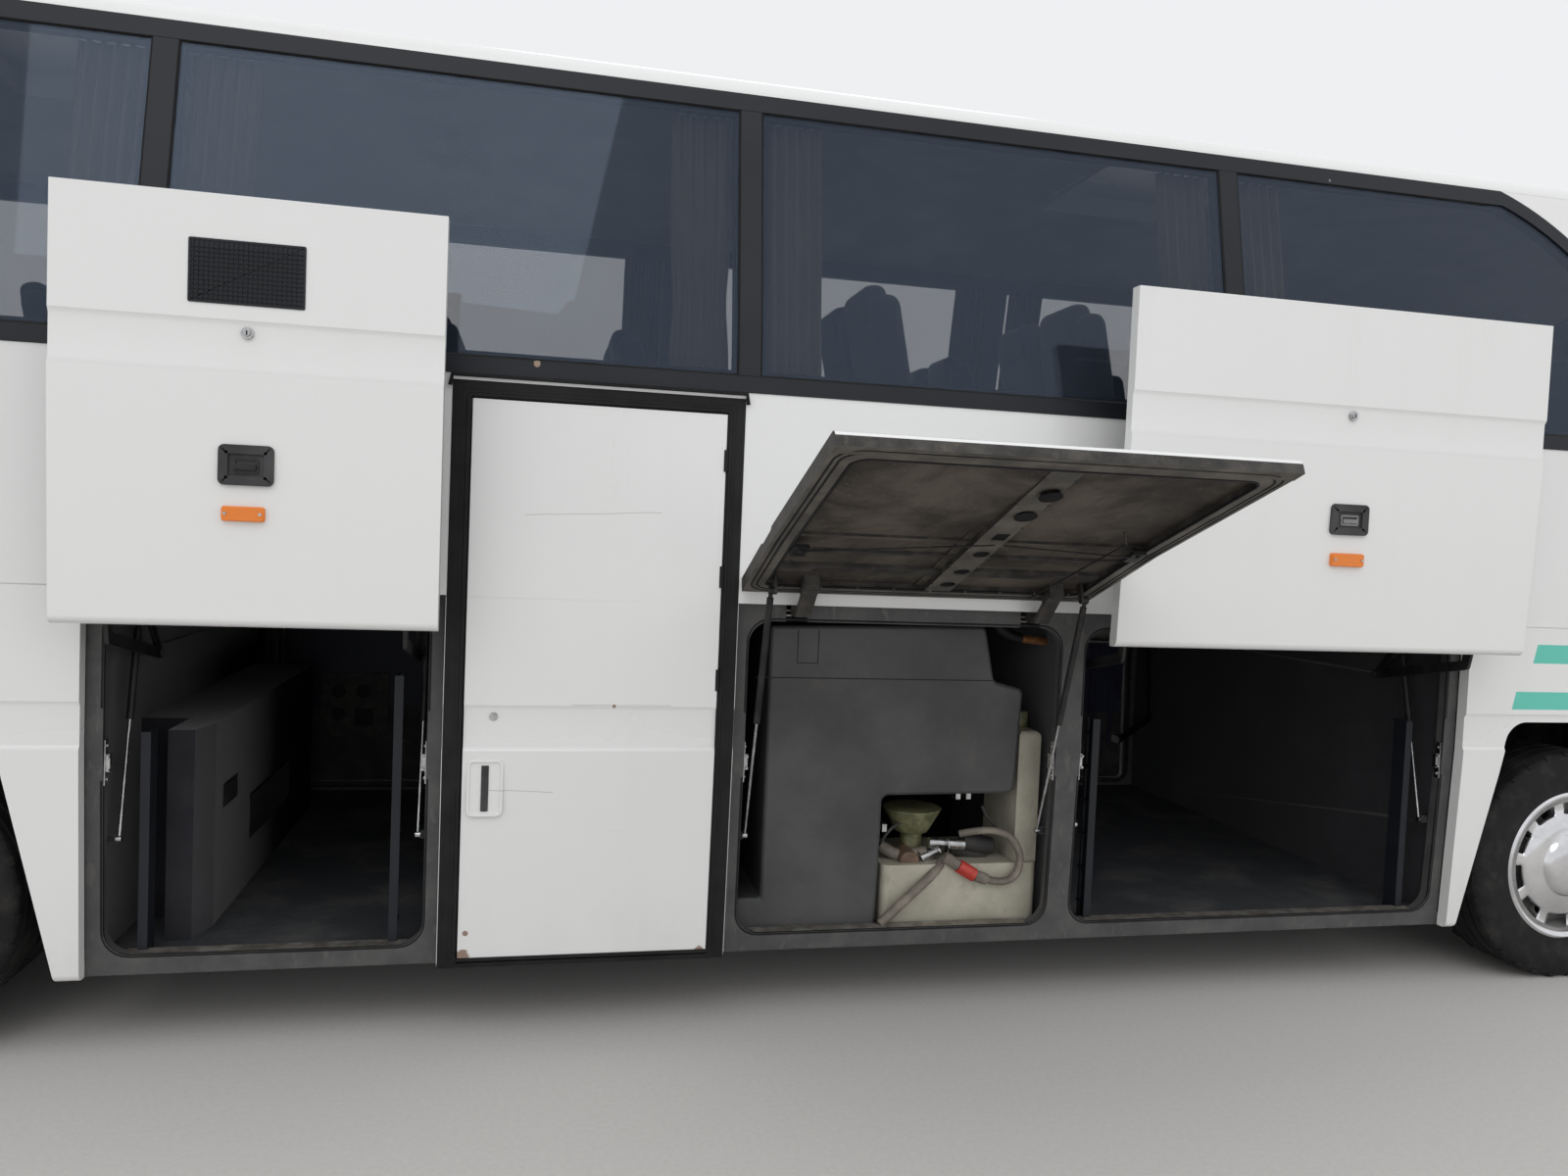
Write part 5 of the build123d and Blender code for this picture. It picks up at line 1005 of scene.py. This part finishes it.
cushions, shells = bmesh.new(), bmesh.new()
places = [(side, row) for side in (-1, 1) for row in range(seat["rows"]) if side > 0 or row not in seat["stairs"]]
for side, row in places:
    x = seat["firstX"] + row * seat["pitch"]
    for y in seat["ys"]:
        for ahead, up, deep, share, high, rounding, leaning in seat["cushions"]:
            place = (x + ahead, side * y, seat["floor"] + up)
            addCushion(cushions, place, (deep, seat["wide"] * share, high), rounding, leaning)
    for x0, x1, y, half, z0, z1 in seat["frames"]:
        near, far = span(side * y, half)
        addBlock(shells, (x + x0, near, seat["floor"] + z0), (x + x1, far, seat["floor"] + z1))
pads = addPiece("seatCushions", cushions, "seat_cloth", smooth=60)
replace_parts(pads, "passenger_seats")
addPiece("seatFrames", shells, "cab_plastic", bevel=0.006)

print("curtains")
curtain = {
    "top": 3.075, "bottom": 2.165, "start": 0.06, "wide": 0.2, "flat": 0.3024, "pleats": 5, "deep": 0.0115,
    "inside": 0.06, "tie": 0.72, "tieHigh": 0.13, "columns": 60, "rows": 22,
}


# Hangs one curtain beside a pillar: pleats that wander down the cloth, drawn in a little at the tie
def hangCurtain(bm, side, x, way):
    phase = random.uniform(0, math.tau)
    gather = random.uniform(0.0, 0.25)
    for v in bm.verts:
        across, down = v.co.x + 0.5, 0.5 - v.co.y
        z = curtain["top"] + (curtain["bottom"] - curtain["top"]) * down
        tied = math.exp(-(((down - curtain["tie"]) / curtain["tieHigh"]) ** 2)) * gather
        u = curtain["start"] + curtain["wide"] * (across + (0.5 - across) * tied)
        wave = math.sin(math.tau * curtain["pleats"] * across + phase + 0.5 * math.sin(2.3 * down + phase))
        fold = 0.12 + wave * (0.75 + 0.25 * math.sin(5 * down + 3 * across))
        depth = curtain["inside"] + curtain["deep"] * fold
        v.co = Vector((x + way * u, side * (coach["halfWidth"] - leanIn(z) - depth), z))


for side, word in ((-1, "Right"), (1, "Left")):
    for number, x in enumerate(pillars):
        for way in (-1, 1):
            bm = bmesh.new()
            bmesh.ops.create_grid(bm, x_segments=curtain["columns"], y_segments=curtain["rows"], size=0.5)
            hangCurtain(bm, side, x, way)
            piece = addPiece(f"curtain{word}{number}{'AB'[way > 0]}", bm, "curtain_cloth", smooth=180)
            if piece.name == "curtainRight0A":
                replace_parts(piece, "curtains")

print("running gear and mechanisms")
edgesByEnding = {  # ends of the nodes' names, the first that fits counts: bevel and smoothing angle
    ("arms", "cab", "steering_wheel", "axle", "knuckle", "engine"): (0.002, 30),
    ("tubes", "rods", "guards"): (0.0006, 30),
    ("_wheel", "_wheels", "chassis_frame", "bulkheads", "boxes"): (0.0, 35),
}
for node in nodeSlot:
    edges = [values for endings, values in edgesByEnding.items() if node.endswith(endings)]
    if edges:
        softenNode(node, *edges[0])

print("front and rear")
# Lines, lamp fittings, wipers and plates lie on the curved ends, whose skin is found by rays
ends = {"front": (1, ["front_mask"]), "rear": (-1, ["rear_mask", "engine_door"])}  # facing, nodes of the skin
skins = {}
for end, (way, nodes) in ends.items():
    whole = bmesh.new()
    for node in nodes + ["glazing", "lamps"]:
        whole.from_mesh(frame["nodes"][node].data)
    skins[end] = (way, BVHTree.FromBMesh(whole))
    whole.free()


def onEnd(end, y, z, out=0.0):
    way, skin = skins[end]
    hit = skin.ray_cast(at(way * 8, y, z), Vector((-way, 0, 0)))[0]
    return hit - coachMiddle + Vector((way * out, 0, 0))


# A line between two places y, z on an end
def addLine(bm, end, start, stop, radius, out=0.0, count=24, sides=6):
    steps = [Vector(start).lerp(Vector(stop), i / count) for i in range(count + 1)]
    addPipe(bm, [onEnd(end, *step, out) for step in steps], radius, sides, False)


seamLines = {
    "front": (
        ((-1.02, 0.765), (1.02, 0.765)), ((-0.92, 1.12), (0.92, 1.12)), ((-0.92, 0.765), (-0.92, 1.12)),
        ((0.92, 0.765), (0.92, 1.12)), ((-1.05, 0.445), (1.05, 0.445)),
    ),
    "rear": (((-1.05, 0.56), (1.05, 0.56)), ((-1.05, 2.02), (1.05, 2.02))),
}
wipers = (  # foot, tip of the arm, ends of the blade
    ((-0.62, 1.155), (-0.16, 1.42), ((-0.6, 1.4), (0.3, 1.43))),
    ((0.3, 1.155), (0.62, 1.42), ((0.22, 1.4), (0.98, 1.43))),
)
frontLamps = {"z": 0.6, "rings": ((0.735, 0.072), (0.905, 0.08), (1.035, 0.038)), "steps": 28}
rearLamps = {"ys": (0.935, 1.125), "cuts": (0.775, 0.93, 1.085), "zs": (0.625, 1.235)}
plate = {"half": 0.265, "halfHigh": 0.058, "places": {"front": 0.372, "rear": 0.47}}
seams, dark, plates, rings = (bmesh.new() for _ in range(4))
for end, out in (("front", 0.0), ("rear", -0.0015)):
    for start, stop in seamLines[end]:
        addLine(seams, end, start, stop, 0.0035, out)
for z in (0.505 + 0.03 * i for i in range(7)):
    addLine(dark, "front", (-0.5, z), (0.5, z), 0.009, 0.002)
for y in (-0.5, -0.25, 0.0, 0.25, 0.5):
    addLine(dark, "front", (y, 0.5), (y, 0.69), 0.007, 0.004, 6)
for foot, tip, blade in wipers:
    addBar(dark, onEnd("front", *foot), onEnd("front", *foot, 0.045), 0.02)
    addLine(dark, "front", foot, tip, 0.008, 0.04, 6, 8)
    addLine(dark, "front", (foot[0] + 0.05, foot[1]), (tip[0] + 0.05, tip[1] - 0.01), 0.005, 0.04, 6, 8)
    addLine(dark, "front", *blade, 0.009, 0.022, 20)
turns = [math.tau * i / frontLamps["steps"] for i in range(frontLamps["steps"])]
for side in (-1, 1):
    for y, radius in frontLamps["rings"]:
        spots = [(side * y + radius * math.cos(a), frontLamps["z"] + radius * math.sin(a)) for a in turns]
        addPipe(rings, [onEnd("front", *spot, 0.002) for spot in spots], 0.005, 8, False, True)
    inner, outer = (side * y for y in rearLamps["ys"])
    cuts = [((inner, z), (outer, z)) for z in rearLamps["cuts"]] + [tuple((inner, z) for z in rearLamps["zs"])]
    for start, stop in cuts:
        addLine(dark, "rear", start, stop, 0.004, -0.002, 8)
for end, z in plate["places"].items():
    (x0, x1), (z0, z1) = (onEnd(end, 0, z, out).x for out in (-0.01, 0.006)), span(z, plate["halfHigh"])
    addBlock(plates, (x0, -plate["half"], z0), (x1, plate["half"], z1))
addPiece("endSeams", seams, "seal_rubber", smooth=60)
addPiece("wipersAndGrille", dark, "black_steel", smooth=60)
addPiece("blankPlates", plates, "white_paint", looks=["plateWhite"], bevel=0.003)
addPiece("lampRings", rings, "chrome_trim", smooth=60)

print("camera and light")
# The photographer stands close to the kerb side, a little behind the middle of the coach
view = {
    "place": (-0.843, -4.9, 1.65),
    "right": (0.9757, -0.2156, 0.0419),
    "ahead": (0.2173, 0.9753, -0.0425),
    "lens": 25.875,
    "sensor": 36.0,
}
camera = addObject("camera", bpy.data.cameras.new("camera"))
camera.data.lens, camera.data.sensor_width, camera.data.clip_end = view["lens"], view["sensor"], 200
ahead, right = Vector(view["ahead"]).normalized(), Vector(view["right"])
right = (right - ahead * right.dot(ahead)).normalized()
turn = Matrix((right, right.cross(ahead), -ahead)).transposed().to_4x4()
camera.matrix_world = Matrix.Translation(at(*view["place"])) @ turn
bpy.context.scene.camera = camera

light = {
    "zenith": 1.14, "horizon": 0.82, "below": -0.1, "even": 0.45,  # strengths and the heights they hold from
    "lit": (0.98, 0.985, 1.0, 1), "seen": (0.86, 0.87, 0.89, 1),
    "lamps": (("kerbLamp", (-4.0, -14.0, 15.0), 330), ("backLamp", (3.0, 13.0, 13.0), 240)),
    "lampSize": 9.0, "aim": (0, 0, 1.2),
}
world = bpy.data.worlds.new("studio")
bpy.context.scene.world = world
world.use_nodes = True
sky = Shading(world.node_tree)
height = sky.node("ShaderNodeSeparateXYZ", {}, {0: sky.node("ShaderNodeTexCoord", {}, {}, "Generated")}, 2)
slope = {"From Min": light["below"], "From Max": light["even"]}
power = sky.node("ShaderNodeMapRange", {}, {
    "Value": height, **slope, "To Min": light["horizon"], "To Max": light["zenith"],
})
lit = sky.node("ShaderNodeBackground", {}, {0: light["lit"], 1: power})
seen = sky.node("ShaderNodeBackground", {}, {0: light["seen"], 1: 1.0})
shown = 0.0
for ray in ("Is Camera Ray", "Is Glossy Ray", "Is Transmission Ray"):
    sockets = {0: shown, 1: sky.node("ShaderNodeLightPath", {}, {}, ray)}
    shown = sky.node("ShaderNodeMath", {"operation": "ADD", "use_clamp": True}, sockets)
sky.node("ShaderNodeOutputWorld", {}, {0: sky.node("ShaderNodeMixShader", {}, {0: shown, 1: lit, 2: seen})})
for name, place, strength in light["lamps"]:
    lamp = addObject(name, bpy.data.lights.new(name, "AREA"))
    lamp.data.energy, lamp.data.size = strength, light["lampSize"]
    lamp.location = at(*place)
    lamp.rotation_euler = (at(*light["aim"]) - lamp.location).to_track_quat("-Z", "Y").to_euler()

paleFloor = Finish("paleFloor", Roughness=0.85)
speckle = paleFloor.noise(60.0, 6.0)
paleFloor.feed("Base Color", paleFloor.mix(speckle, (0.5, 0.485, 0.465), (0.6, 0.585, 0.565)))
bm = bmesh.new()
bmesh.ops.create_grid(bm, x_segments=1, y_segments=1, size=60)
addMesh("studioFloor", bm, [paleFloor.material])

bpy.context.scene.view_settings.view_transform = "Standard"
